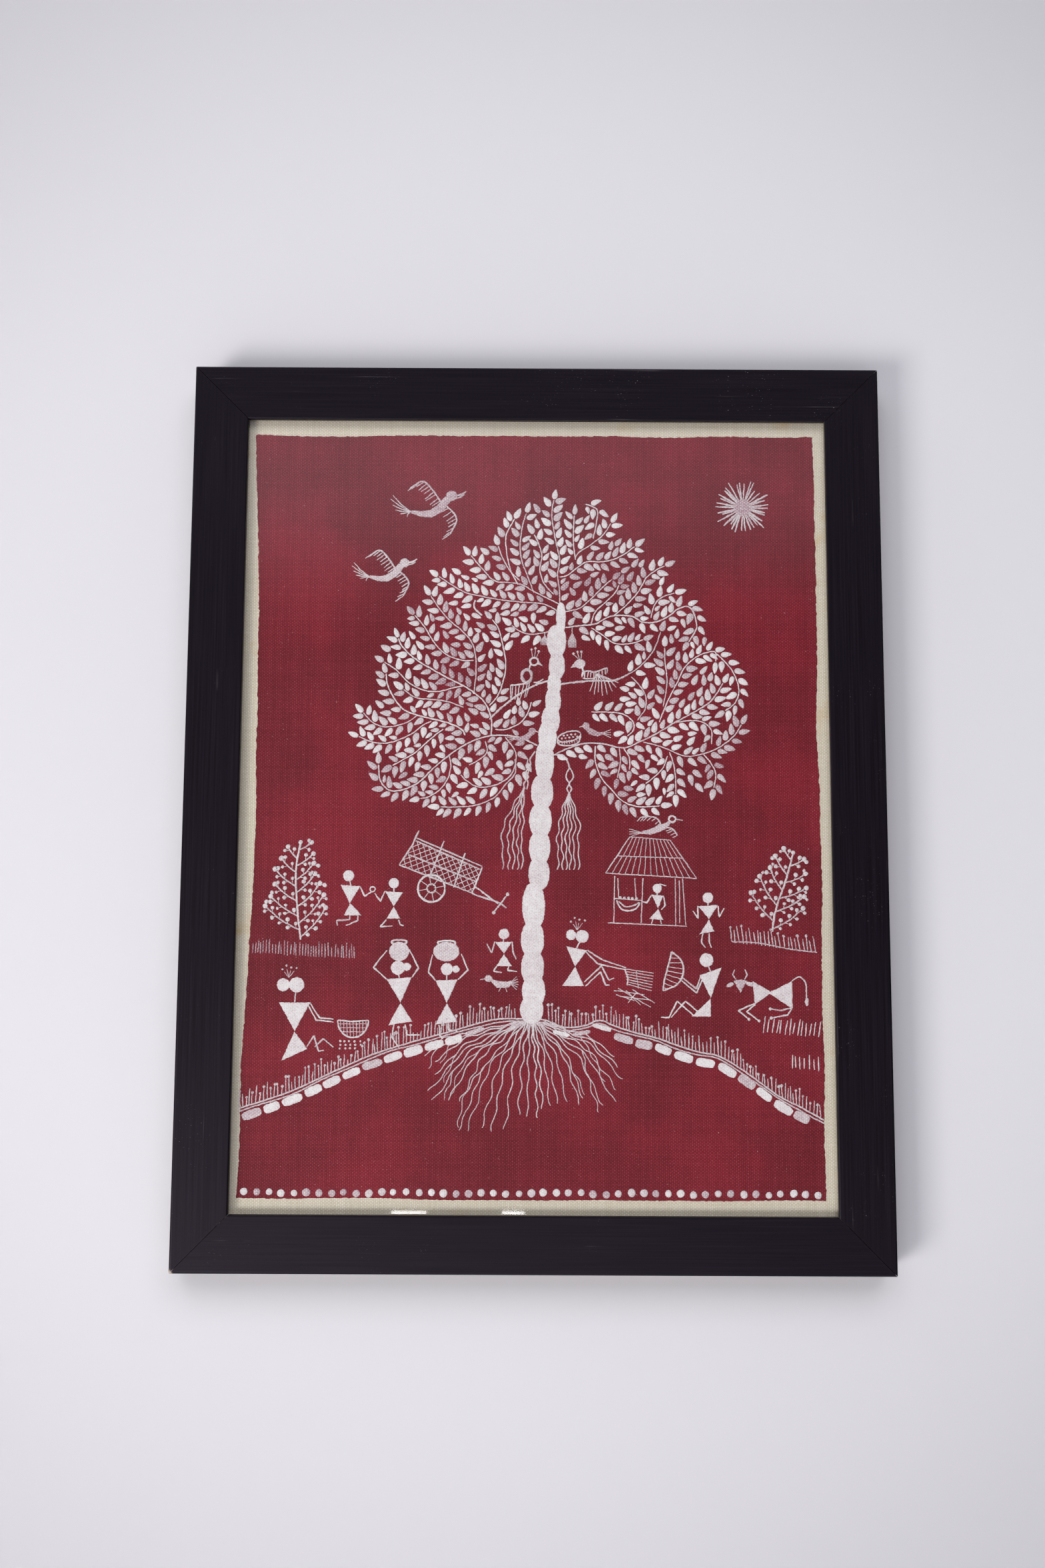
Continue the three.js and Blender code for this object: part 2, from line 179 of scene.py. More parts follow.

# %% [markdown]
# ## Wall and floor
#
# A painted wall is nearly even, and a big lamp on it falls off towards the edges. A lamp alone could do that,
# but the fall is set here as painted shade in the wall's own colour, which keeps the light on the picture
# free to be chosen.
# Both surfaces are plain squares that are staged: they are seen, but they aren't part of the object.

# %% Room: wall and floor
WALL_GAP = 0.4 * MM
WALL_HALF = 3.0
PAINTED_FALLOFF_FROM_TO = (0.26, 0.62)
FLOOR_DROP = 1.5
wall_y = CAD_BOX[1][1] + WALL_GAP
floor_z = MIDDLE.z - FLOOR_DROP


def flat_square(name, corners, finish):
    mesh = bpy.data.meshes.new(name)
    mesh.from_pydata(corners, [], [range(len(corners))])
    mesh.materials.append(finish)
    made = bpy.data.objects.new(name, mesh)
    bpy.context.scene.collection.objects.link(made)
    return made


def wall_finish():
    finish, tree, surface = new_finish("pale wall", Roughness=0.9)
    grain = speckle(tree, stretched(tree), 3.0, 4.0)
    tint = mix(tree, grain, (0.5, 0.494, 0.509, 1), (0.52, 0.514, 0.53, 1))
    centre = (MIDDLE.x - 0.01, wall_y, MIDDLE.z + 0.05)
    place = stretched(tree)
    away = distance(tree, place, centre)
    # Painted shade: the wall's colour darkens away from the middle, as a lamp's light would fall off.
    tint = mix(tree, ramp(tree, away, *PAINTED_FALLOFF_FROM_TO), tint, (0.362, 0.356, 0.371, 1))
    tree.links.new(tint, surface.inputs["Base Color"])
    behind = node(tree, "ShaderNodeNewGeometry").outputs["Backfacing"]
    clear = node(tree, "ShaderNodeBsdfTransparent").outputs["BSDF"]
    both = node(tree, "ShaderNodeMixShader", {0: behind, 1: surface.outputs["BSDF"], 2: clear})
    tree.links.new(both.outputs["Shader"], tree.nodes["Material Output"].inputs["Surface"])
    return finish


def floor_finish():
    finish, tree, surface = new_finish("pale floor", Roughness=0.8)
    grain = speckle(tree, stretched(tree), 5.0, 4.0)
    tint = mix(tree, grain, (0.58, 0.57, 0.6, 1), (0.62, 0.61, 0.64, 1))
    tree.links.new(tint, surface.inputs["Base Color"])
    return finish


wall = flat_square("wall", [
    (-WALL_HALF, wall_y, floor_z), (WALL_HALF, wall_y, floor_z),
    (WALL_HALF, wall_y, floor_z + 2 * WALL_HALF), (-WALL_HALF, wall_y, floor_z + 2 * WALL_HALF),
], wall_finish())
wall.visible_shadow = wall.visible_diffuse = wall.visible_glossy = False
flat_square("floor", [
    (-WALL_HALF, -WALL_HALF, floor_z), (WALL_HALF, -WALL_HALF, floor_z),
    (WALL_HALF, WALL_HALF, floor_z), (-WALL_HALF, WALL_HALF, floor_z),
], floor_finish())
print("wall at y", round(wall_y, 4), "and floor at z", round(floor_z, 3))

# %% [markdown]
# ## The lamps
#
# The room is a day-lit one: a low window on the left is the strongest light, a broad bright ceiling fills in,
# and the floor throws a little back up. Area lamps are used because their size makes a shadow's edge soft.
# Two small ones are there only to be mirrored: they make the two short glints at the bottom of the glass.

# %% Room: lamps
GLINT_GLOW = 4.0
PANE_GLINTS = [(-0.234, 0.072), (-0.018, 0.046)]


def lamp(name, place, aim, power, size, colour=(1, 1, 1)):
    """An area lamp; its place and aim are counted from the middle of the picture's front."""
    data = bpy.data.lights.new(name, "AREA")
    data.shape = "RECTANGLE"
    data.size, data.size_y = size
    data.energy = power
    data.color = colour
    made = bpy.data.objects.new(name, data)
    made.location = Vector((MIDDLE.x, FRONT_Y, MIDDLE.z)) + Vector(place)
    target = Vector((MIDDLE.x, FRONT_Y, MIDDLE.z)) + Vector(aim)
    made.rotation_euler = (target - made.location).to_track_quat("-Z", "Y").to_euler()
    bpy.context.scene.collection.objects.link(made)
    return made


lamp("low left window", (-1.5, -1.7, -1.15), (0, 0, 0), 55, (0.9, 0.9), (1.0, 0.975, 0.96))
ceiling = lamp("bright ceiling", (0.1, -2.2, 1.45), (0, 0, 0), 47, (2.6, 1.5), (0.96, 0.965, 1.0))
ceiling.visible_glossy = False
lamp("floor bounce", (-0.25, -2.3, -1.15), (0, 0, -0.2), 9, (1.6, 0.6), (0.96, 0.94, 1.0))
lamp("back lamp", (0.9, 1.7, 0.9), (0, 0, 0), 26, (1.2, 1.2))
for i, (x, width) in enumerate(PANE_GLINTS):
    lamp(f"pane glint {i + 1}", (x, -2.48, -0.635), (x, 0, -0.635), GLINT_GLOW * width, (width, 0.09))
lamps = [made for made in bpy.data.objects if made.type == "LIGHT"]
print("lamps in watts:", {made.name: round(made.data.energy, 2) for made in lamps})

# %% [markdown]
# ## What the glass mirrors
#
# A pane shows its room as a pale veil. Here the veil comes from the world behind the viewer: dark low down,
# bright above and to the left. A picture of a room could be wrapped round instead, but three smooth ramps say
# all that matters. Seen directly, the world has one even strength.

# %% The world
SEEN_STRENGTH = 0.62

world = bpy.data.worlds.new("room light")
world.use_nodes = True
glow = world.node_tree.nodes["Background"]
glow.inputs["Color"].default_value = (0.87, 0.86, 0.96, 1)
sky = world.node_tree
toward = axes_of(sky, node(sky, "ShaderNodeTexCoord").outputs["Generated"])
above = ramp(sky, toward["Z"], 0.205, 0.31)
left = ramp(sky, toward["X"], -0.3, 0.3, 1.0, 0.0)
high = maths(sky, "MULTIPLY_ADD", left, 0.36, 0.52)
low = maths(sky, "MULTIPLY_ADD", left, 0.09, 0.02)
lift = times(sky, maths(sky, "SUBTRACT", high, low), above)
mirrored = maths(sky, "ADD", low, lift)
seen = node(sky, "ShaderNodeLightPath").outputs["Is Camera Ray"]
strength = node(sky, "ShaderNodeMix", {0: seen, 2: mirrored, 3: SEEN_STRENGTH}).outputs[0]
sky.links.new(strength, glow.inputs["Strength"])
bpy.context.scene.world = world
bpy.context.scene.view_settings.view_transform = "Standard"
print("world nodes:", len(sky.nodes))

# %% [markdown]
# ## The plain weave
#
# Cotton canvas is a plain weave: each thread goes over one and under the next. The cloth, the red ground and
# the white paint all show it, so it is one node group that they share. It works on Object coordinates, with
# a round thread profile, a wave that passes over and under, threads of uneven thickness and a little drift.
# Real threads would be half a million tiny tubes, and the eye only meets them as a texture, so they are bump.
# The lowest crossing threads, the weft, stand less proud than the warp.

# %% The weave as one shared node group
WARP_PITCH, WEFT_PITCH = 0.92 * MM, 0.72 * MM
WEFT_LOW = 0.6
THINNEST, THICKNESS_SPREAD = 0.84, 0.24


def make_weave():
    group = bpy.data.node_groups.new("plain weave", "ShaderNodeTree")
    group.interface.new_socket("Height", in_out="OUTPUT", socket_type="NodeSocketFloat")
    group.interface.new_socket("Slub", in_out="OUTPUT", socket_type="NodeSocketFloat")
    place = node(group, "ShaderNodeTexCoord").outputs["Object"]
    drift = speckle(group, place, 55.0)
    axes = axes_of(group, place)
    lanes = []
    for axis, pitch, push in (("X", WARP_PITCH, 1.3), ("Z", WEFT_PITCH, -1.1)):
        count = maths(group, "DIVIDE", axes[axis], pitch)
        lanes.append(maths(group, "MULTIPLY_ADD", drift, push, count))
    heights, slubs = [], []
    for here, there, over, proud in ((0, 1, 0.5, 1.0), (1, 0, -0.5, WEFT_LOW)):
        number = maths(group, "FLOOR", lanes[here])
        across_thread = maths(group, "PINGPONG", lanes[here], 0.5)
        dome = maths(group, "SQRT", times(group, across_thread, 2.0))
        phase = maths(group, "ADD", maths(group, "SUBTRACT", lanes[there], 0.5), number)
        wave = maths(group, "COSINE", times(group, phase, math.pi))
        pass_over = maths(group, "MULTIPLY_ADD", wave, over, 0.5)
        uneven = node(group, "ShaderNodeTexWhiteNoise", {"W": number}, noise_dimensions="1D")
        thick = maths(group, "MULTIPLY_ADD", uneven.outputs["Value"], THICKNESS_SPREAD, THINNEST)
        heights.append(times(group, dome, times(group, pass_over, proud), thick))
        slubs.append(thick)
    fuzz = speckle(group, place, 1900.0, 2.0, 0.6)
    fuzzy = ramp(group, fuzz, 0.25, 0.7, 0.62, 1.1)
    top = times(group, maths(group, "MAXIMUM", *heights), fuzzy)
    node(group, "NodeGroupOutput", {"Height": top, "Slub": times(group, *slubs)})
    return group


WEAVE = make_weave()


def weave(tree):
    made = tree.nodes.new("ShaderNodeGroup")
    made.node_tree = WEAVE
    return made.outputs["Height"], made.outputs["Slub"]


print("threads per cm:", round(10 * MM / WARP_PITCH, 1), "by", round(10 * MM / WEFT_PITCH, 1))

# %% [markdown]
# ## Finishes of the painting
#
# Bare cotton is warm beige with old stains, and painted shade darkens the hollows of its weave. The red is a
# thin
# matt ground: thread crowns are rubbed lighter, and painted shade darkens the hollows between them. The white
# is thicker in some strokes than in others, and where it is thin the red comes through between the threads
# and turns it lilac. A stroke carries that as an attribute called thin.

# %% Cotton, red ground and white paint
def cotton_finish():
    finish, tree, surface = new_finish("raw cotton", Roughness=0.92, Sheen_Weight=0.25, Sheen_Roughness=0.5)
    height, slub = weave(tree)
    place = stretched(tree)
    # Painted shade: the weave's hollows get a darker beige than the thread crowns.
    plain = mix(tree, ramp(tree, height, 0.15, 0.8), (0.36, 0.3, 0.215, 1), (0.65, 0.6, 0.505, 1))
    uneven = mix(tree, ramp(tree, slub, 0.5, 1.2), (0.55, 0.5, 0.4, 1), (0.68, 0.64, 0.57, 1))
    thready = mix(tree, 0.3, plain, uneven)
    blot = ramp(tree, speckle(tree, place, 26.0, 4.0, 0.6), 0.56, 0.72)
    stained = mix(tree, times(tree, blot, 0.62), thready, (0.45, 0.3, 0.11, 1))
    grey = ramp(tree, speckle(tree, place, 9.0, 3.0), 0.45, 0.7)
    tint = mix(tree, times(tree, grey, 0.22), stained, (0.4, 0.365, 0.325, 1))
    tree.links.new(tint, surface.inputs["Base Color"])
    raise_bump(tree, surface, height, 0.16 * MM)
    return finish


def ground_finish():
    finish, tree, surface = new_finish("red earth ground", Roughness=0.82)
    height, slub = weave(tree)
    place = stretched(tree)
    cloudy = ramp(tree, speckle(tree, place, 16.0, 5.0, 0.6), 0.35, 0.68)
    # Painted shade: the darker red goes into the weave's hollows and the lighter red onto the thread crowns.
    deep = mix(tree, cloudy, (0.087, 0.001, 0.005, 1), (0.14, 0.0025, 0.01, 1))
    crown = mix(tree, cloudy, (0.24, 0.008, 0.021, 1), (0.305, 0.016, 0.033, 1))
    threads = mix(tree, ramp(tree, height, 0.25, 0.85), deep, crown)
    thick = times(tree, ramp(tree, slub, 0.85, 1.15), 0.1)
    streaked = mix(tree, thick, threads, (0.22, 0.026, 0.042, 1))
    patchy = ramp(tree, speckle(tree, place, 34.0, 4.0, 0.65), 0.42, 0.72, 0.2, 1.0)
    flecks = ramp(tree, speckle(tree, place, 700.0, 2.0), 0.52, 0.7)
    worn = times(tree, ramp(tree, height, 0.62, 0.95), flecks, patchy, 0.8)
    rubbed = mix(tree, worn, streaked, (0.4, 0.155, 0.19, 1))
    speck = times(tree, ramp(tree, speckle(tree, place, 1000.0, 1.0), 0.77, 0.82), 0.5)
    tint = mix(tree, speck, rubbed, (0.44, 0.32, 0.32, 1))
    tree.links.new(tint, surface.inputs["Base Color"])
    tree.links.new(ramp(tree, height, 0.0, 1.0, 0.9, 0.68), surface.inputs["Roughness"])
    raise_bump(tree, surface, height, 0.16 * MM)
    return finish


def white_finish():
    finish, tree, surface = new_finish("rice white paint", Roughness=0.85)
    height, slub = weave(tree)
    place = stretched(tree)
    thin = node(tree, "ShaderNodeAttribute", attribute_name="thin").outputs["Fac"]
    load = ramp(tree, speckle(tree, place, 260.0, 3.0, 0.6), 0.3, 0.75)
    grit = ramp(tree, speckle(tree, place, 1500.0, 3.0, 0.6), 0.4, 0.68)
    uneven = maths(tree, "MULTIPLY_ADD", load, 0.16, times(tree, grit, 0.3))
    bare = maths(tree, "MULTIPLY_ADD", thin, 1.15, uneven)
    hollow = ramp(tree, height, 0.3, 0.72, 1.0, 0.0)
    showing = maths(tree, "MULTIPLY", hollow, bare, clamp=True)
    streak = ramp(tree, speckle(tree, place, 620.0, 2.0, 0.6), 0.4, 0.66)
    brushed = times(tree, thin, maths(tree, "MULTIPLY_ADD", streak, 1.0, 0.45))
    wash = maths(tree, "MULTIPLY_ADD", load, 0.03, brushed, clamp=True)
    veil = mix(tree, wash, (0.69, 0.668, 0.666, 1), (0.34, 0.25, 0.3, 1))
    tint = mix(tree, showing, veil, (0.235, 0.075, 0.11, 1))
    tree.links.new(tint, surface.inputs["Base Color"])
    raise_bump(tree, surface, maths(tree, "MULTIPLY_ADD", load, 0.4, height), 0.22 * MM)
    return finish


COTTON, GROUND, WHITE = cotton_finish(), ground_finish(), white_finish()
for finish in (COTTON, GROUND, WHITE):
    print(finish.name, "has", len(finish.node_tree.nodes), "nodes")

# %% [markdown]
# ## The cloth
#
# The cloth is one sheet of cotton, cut to the size of the glass and laid on its board. Its edge is hidden in
# the rebate, so only a margin a few millimetres wide shows round the red. It is a fine grid with a very small
# swell, closed by a back layer and a rim. A cloth simulation would only lay it flat, because the glass
# presses it.

# %% Lay the cotton sheet
cloth_low, cloth_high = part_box("painted_cloth")
CLOTH_BACK = cloth_high.y - 0.05 * MM
CLOTH_THICK = 0.35 * MM
CLOTH_FACE = CLOTH_BACK - CLOTH_THICK
GROUND_THICK = 0.06 * MM
PAINT_ON = CLOTH_FACE - GROUND_THICK
CLOTH_CELLS = (76, 102)


def new_mesh(name, points, edges=(), faces=()):
    mesh = bpy.data.meshes.new(name)
    mesh.from_pydata(points, edges, faces)
    return mesh


def slab_faces(count, start=0):
    """Bottom, top and sides of a closed slab whose rim and top ring have this many points each."""
    faces = [tuple(range(start + count - 1, start - 1, -1)), tuple(range(start + count, start + 2 * count))]
    for i in range(count):
        a, b = start + i, start + (i + 1) % count
        faces.append((a, b, b + count, a + count))
    return faces


def settle(made, finish=None):
    bpy.context.scene.collection.objects.link(made)
    if finish:
        made.data.materials.append(finish)
    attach(made, "frame")
    return made


def grid_sheet(name, low, high, cells, depth, ripple=0.0):
    columns, rows = cells
    points, faces = [], []
    for layer in (0, 1):
        for j in range(rows + 1):
            for i in range(columns + 1):
                x = low[0] + (high[0] - low[0]) * i / columns
                z = low[1] + (high[1] - low[1]) * j / rows
                swell = ripple * noise.noise(Vector((x * 30, 7, z * 30)))
                points.append((x, depth[layer] + (swell if layer == 0 else 0), z))
    wide = columns + 1
    back = wide * (rows + 1)
    for j in range(rows):
        for i in range(columns):
            a = j * wide + i
            faces.append((a, a + 1, a + wide + 1, a + wide))
            faces.append((back + a, back + a + wide, back + a + wide + 1, back + a + 1))
    rim = list(range(wide))
    rim += [j * wide + columns for j in range(1, rows + 1)]
    rim += [rows * wide + i for i in range(columns - 1, -1, -1)]
    rim += [j * wide for j in range(rows - 1, 0, -1)]
    faces += [(b, a, a + back, b + back) for a, b in zip(rim, rim[1:] + rim[:1])]
    return bpy.data.objects.new(name, new_mesh(name, points, [], faces))


cloth = settle(grid_sheet(
    "cotton_cloth", (cloth_low.x, cloth_low.z), (cloth_high.x, cloth_high.z), CLOTH_CELLS,
    (CLOTH_FACE, CLOTH_BACK), 0.02 * MM,
), COTTON)
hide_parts("painted_cloth")

# %% [markdown]
# ## Drawing on the cloth
#
# The painting is laid out in millimetres from the middle of the picture, x to the right and z up. Three
# tools make all of it. A brush line is a path with a width: a Geometry Nodes tree turns it into a low round
# ridge that wavers and swells as a hand-held twig brush does. A dab is one small shape stamped at many
# places by a second tree. A patch is a filled outline with a soft edge, made in Python, because each differs.

# %% Paths and shapes in picture millimetres
SEED = 27
dice = random.Random(SEED)
noise.seed_set(SEED)


def spot(x, z, proud=0.0):
    return Vector((MIDDLE.x + x * MM, PAINT_ON - proud * MM, MIDDLE.z + z * MM))


def smooth_path(points, step=0.5):
    """A curve through the points, sampled about every step millimetres."""
    ends = [points[0], *points, points[-1]]
    path = []
    for p0, p1, p2, p3 in zip(ends, ends[1:], ends[2:], ends[3:]):
        count = max(1, round(math.dist(p1, p2) / step))
        for i in range(count):
            t = i / count
            path.append(tuple(
                0.5 * (2 * b + (c - a) * t
                       + (2 * a - 5 * b + 4 * c - d) * t * t
                       + (3 * b - a - 3 * c + d) * t ** 3)
                for a, b, c, d in zip(p0, p1, p2, p3)
            ))
    return [*path, tuple(points[-1])]


def turned_spot(x, z, u, v, lean):
    """The spot that is u along and v up from x, z, after a turn by lean radians."""
    return (x + u * math.cos(lean) - v * math.sin(lean), z + u * math.sin(lean) + v * math.cos(lean))


def arc(x, z, wide, high, start=0, end=360, tilt=0, step=12):
    count = max(2, round(abs(end - start) / step))
    path = []
    for i in range(count + 1):
        a = math.radians(start + (end - start) * i / count)
        path.append(turned_spot(x, z, wide * math.cos(a), high * math.sin(a), math.radians(tilt)))
    return path


def disc(x, z, wide, high=None, tilt=0):
    return arc(x, z, wide, high or wide, 0, 360, tilt)[:-1]


def between(a, b, t):
    return tuple(p + (q - p) * t for p, q in zip(a, b))


def polar(point, angle, length):
    a = math.radians(angle)
    return (point[0] + length * math.cos(a), point[1] + length * math.sin(a))


def heading(a, b):
    """The direction from a to b in radians."""
    return math.atan2(b[1] - a[1], b[0] - a[0])


def heading_at(path, i):
    """The direction of the path at its point i, in radians."""
    return heading(path[max(0, i - 1)], path[min(len(path) - 1, i + 1)])


print("a path through three spots has", len(smooth_path([(0, 0), (10, 5), (20, 0)])), "points")

# %% [markdown]
# ## Brush lines and dabs as Geometry Nodes
#
# A twig brush leaves a ridge of paint that is never quite straight nor quite even. Each line could be
# modelled by hand, but there are hundreds. One tree sweeps a ring along any path, moves it about by noise and
# presses it flat; another stamps a dab at every point of a mesh, with its own turn, length and width.

# %% Two Geometry Nodes trees: brush lines and dabs
def new_tree(name, inputs):
    tree = bpy.data.node_groups.new(name, "GeometryNodeTree")
    tree.interface.new_socket("Geometry", in_out="INPUT", socket_type="NodeSocketGeometry")
    tree.interface.new_socket("Geometry", in_out="OUTPUT", socket_type="NodeSocketGeometry")
    for label, kind in inputs.items():
        tree.interface.new_socket(label, in_out="INPUT", socket_type="NodeSocket" + kind)
    return tree, tree.nodes.new("NodeGroupInput").outputs


def named(tree, name):
    return node(tree, "GeometryNodeInputNamedAttribute", {"Name": name}).outputs["Attribute"]


def waver(tree, geometry, scale, amount, seed):
    """Moves points about in the plane of the cloth by a smooth noise."""
    inputs = {"Scale": scale, "W": seed, "Detail": 2.0}
    cloud = node(tree, "ShaderNodeTexNoise", inputs, noise_dimensions="4D").outputs["Color"]
    centred = node(tree, "ShaderNodeVectorMath", {0: cloud, 1: (0.5, 0.5, 0.5)}, operation="SUBTRACT")
    flat = node(tree, "ShaderNodeVectorMath", {0: centred.outputs[0], 1: (1, 0, 1)}, operation="MULTIPLY")
    sized = node(tree, "ShaderNodeVectorMath", {0: flat.outputs[0], "Scale": amount}, operation="SCALE")
    inputs = {"Geometry": geometry, "Offset": sized.outputs[0]}
    return node(tree, "GeometryNodeSetPosition", inputs).outputs[0]


def finish_tree(tree, geometry, paint):
    smooth = node(tree, "GeometryNodeSetShadeSmooth", {"Geometry": geometry}).outputs[0]
    real = node(tree, "GeometryNodeRealizeInstances", {"Geometry": smooth}).outputs[0]
    painted = node(tree, "GeometryNodeSetMaterial", {"Geometry": real, "Material": paint}).outputs[0]
    node(tree, "NodeGroupOutput", {"Geometry": painted})
    return tree


def brush_line_tree():
    tree, given = new_tree("brush line", {
        "Step": "Float", "Swell": "Float", "Grain": "Float", "Waver": "Float", "Waver Scale": "Float",
        "Flatness": "Float", "Surface": "Float", "Seed": "Float", "Paint": "Material",
    })
    path = node(tree, "GeometryNodeMeshToCurve", {"Mesh": given["Geometry"]}).outputs[0]
    inputs = {"Curve": path, "Length": given["Step"]}
    stepped = node(tree, "GeometryNodeResampleCurve", inputs, mode="LENGTH").outputs[0]
    moved = waver(tree, stepped, given["Waver Scale"], given["Waver"], given["Seed"])
    inputs = {"Scale": given["Grain"], "W": given["Seed"]}
    cloud = node(tree, "ShaderNodeTexNoise", inputs, noise_dimensions="4D")
    swell = times(tree, maths(tree, "SUBTRACT", cloud.outputs["Fac"], 0.5), given["Swell"])
    width = times(tree, named(tree, "width"), maths(tree, "ADD", swell, 1.0))
    ring = node(tree, "GeometryNodeCurvePrimitiveCircle", {"Resolution": 6, "Radius": 1.0}).outputs[0]
    ridge = node(tree, "GeometryNodeCurveToMesh", {
        "Curve": moved, "Profile Curve": ring, "Scale": width, "Fill Caps": True,
    }).outputs[0]
    axes = axes_of(tree, node(tree, "GeometryNodeInputPosition").outputs[0])
    proud = times(tree, maths(tree, "SUBTRACT", axes["Y"], given["Surface"]), given["Flatness"])
    pressed = node(tree, "ShaderNodeCombineXYZ", {
        "X": axes["X"], "Y": maths(tree, "ADD", proud, given["Surface"]), "Z": axes["Z"],
    }).outputs[0]
    low = node(tree, "GeometryNodeSetPosition", {"Geometry": ridge, "Position": pressed}).outputs[0]
    return finish_tree(tree, low, given["Paint"])


def dab_tree():
    tree, given = new_tree("stamped dab", {
        "Dab": "Object", "Waver": "Float", "Waver Scale": "Float", "Height": "Float", "Seed": "Float",
        "Paint": "Material",
    })
    shape = node(tree, "GeometryNodeObjectInfo", {"Object": given["Dab"]}).outputs["Geometry"]
    turned = node(tree, "ShaderNodeCombineXYZ", {"X": 0.0, "Y": named(tree, "turn"), "Z": 0.0}).outputs[0]
    spin = node(tree, "FunctionNodeEulerToRotation", {0: turned}).outputs[0]
    sized = node(tree, "ShaderNodeCombineXYZ", {
        "X": named(tree, "wide"), "Y": given["Height"], "Z": named(tree, "long"),
    }).outputs[0]
    stamped = node(tree, "GeometryNodeInstanceOnPoints", {
        "Points": given["Geometry"], "Instance": shape, "Rotation": spin, "Scale": sized,
    }).outputs[0]
    real = node(tree, "GeometryNodeRealizeInstances", {"Geometry": stamped}).outputs[0]
    ragged = waver(tree, real, given["Waver Scale"], given["Waver"], given["Seed"])
    return finish_tree(tree, ragged, given["Paint"])


BRUSH_TREE, DAB_TREE = brush_line_tree(), dab_tree()


def grow(name, mesh, tree, values):
    """Runs a tree on the mesh with these inputs and returns what it made as a plain mesh object."""
    seedling = bpy.data.objects.new(name, mesh)
    bpy.context.scene.collection.objects.link(seedling)
    modifier = seedling.modifiers.new("grow", "NODES")
    modifier.node_group = tree
    sockets = {item.name: item.identifier for item in tree.interface.items_tree if item.in_out == "INPUT"}
    for label, value in values.items():
        modifier[sockets[label]] = value
    graph = bpy.context.evaluated_depsgraph_get()
    grown = bpy.data.meshes.new_from_object(seedling.evaluated_get(graph), depsgraph=graph)
    seedling.modifiers.remove(modifier)
    bpy.data.objects.remove(seedling)
    return bpy.data.objects.new(name, grown)


def put_numbers(mesh, **values):
    """Stores one number per point under each name, for the trees and the white paint to read."""
    for name, numbers in values.items():
        mesh.attributes.new(name, "FLOAT", "POINT").data.foreach_set("value", numbers)


for tree in (BRUSH_TREE, DAB_TREE):
    print(tree.name, "has", len(tree.nodes), "nodes")

# %% [markdown]
# ## A sheet of paint for each motif
#
# On the real cloth each motif is painted in one go, wet into wet. Here each motif collects its lines, patches
# and dabs, and is then made as one piece. Lines taper a little at both ends. Patches get a bevelled rim, with
# an edge made ragged by the threads under it, and each stands a hair higher or lower than its neighbours, so
# that no two faces lie in one plane.

# %% Collect marks, then make them one piece
LINE_TREE_SIZES = {
    "Step": 0.6 * MM, "Swell": 1.7, "Grain": 1300.0, "Waver": 0.62 * MM, "Waver Scale": 480.0,
    "Flatness": 0.34, "Surface": PAINT_ON,
}
DAB_TREE_SIZES = {"Waver": 0.95 * MM, "Waver Scale": 430.0, "Height": 0.15 * MM}
PATCH_PROUD = 0.15
STAGGER, STAGGER_CYCLE = 0.0017, 12
LOADED = 1.16
START_WIDTH, END_WIDTH = 0.7, 0.6
THIN_SHARE = 0.6
RIM = 0.22


def dab_shape(name, half_width, stations):
    """A closed stud of unit length along z and unit width: its outline is half_width(t) for t from 0 to 1."""
    right = [(half_width(t), t) for t in stations]
    outline = [(0.0, 0.0), *right, (0.0, 1.0), *[(-x, z) for x, z in reversed(right)]]
    inner = [(x * 0.8, 0.5 + (z - 0.5) * 0.86) for x, z in outline]
    points = [(x, 0.3, z) for x, z in outline] + [(x, -1.0, z) for x, z in inner]
    return bpy.data.objects.new(name, new_mesh(name, points, [], slab_faces(len(outline))))


LEAF = dab_shape(
    "leaf dab", lambda t: 0.5 * math.sin(math.pi * t ** 0.8) ** 0.62 * (1.12 - 0.36 * t),
    (0.06, 0.2, 0.36, 0.52, 0.68, 0.82, 0.93),
)
DOT = dab_shape("dot dab", lambda t: math.sqrt(max(0.0, t * (1 - t))), (0.08, 0.3, 0.5, 0.7, 0.92))


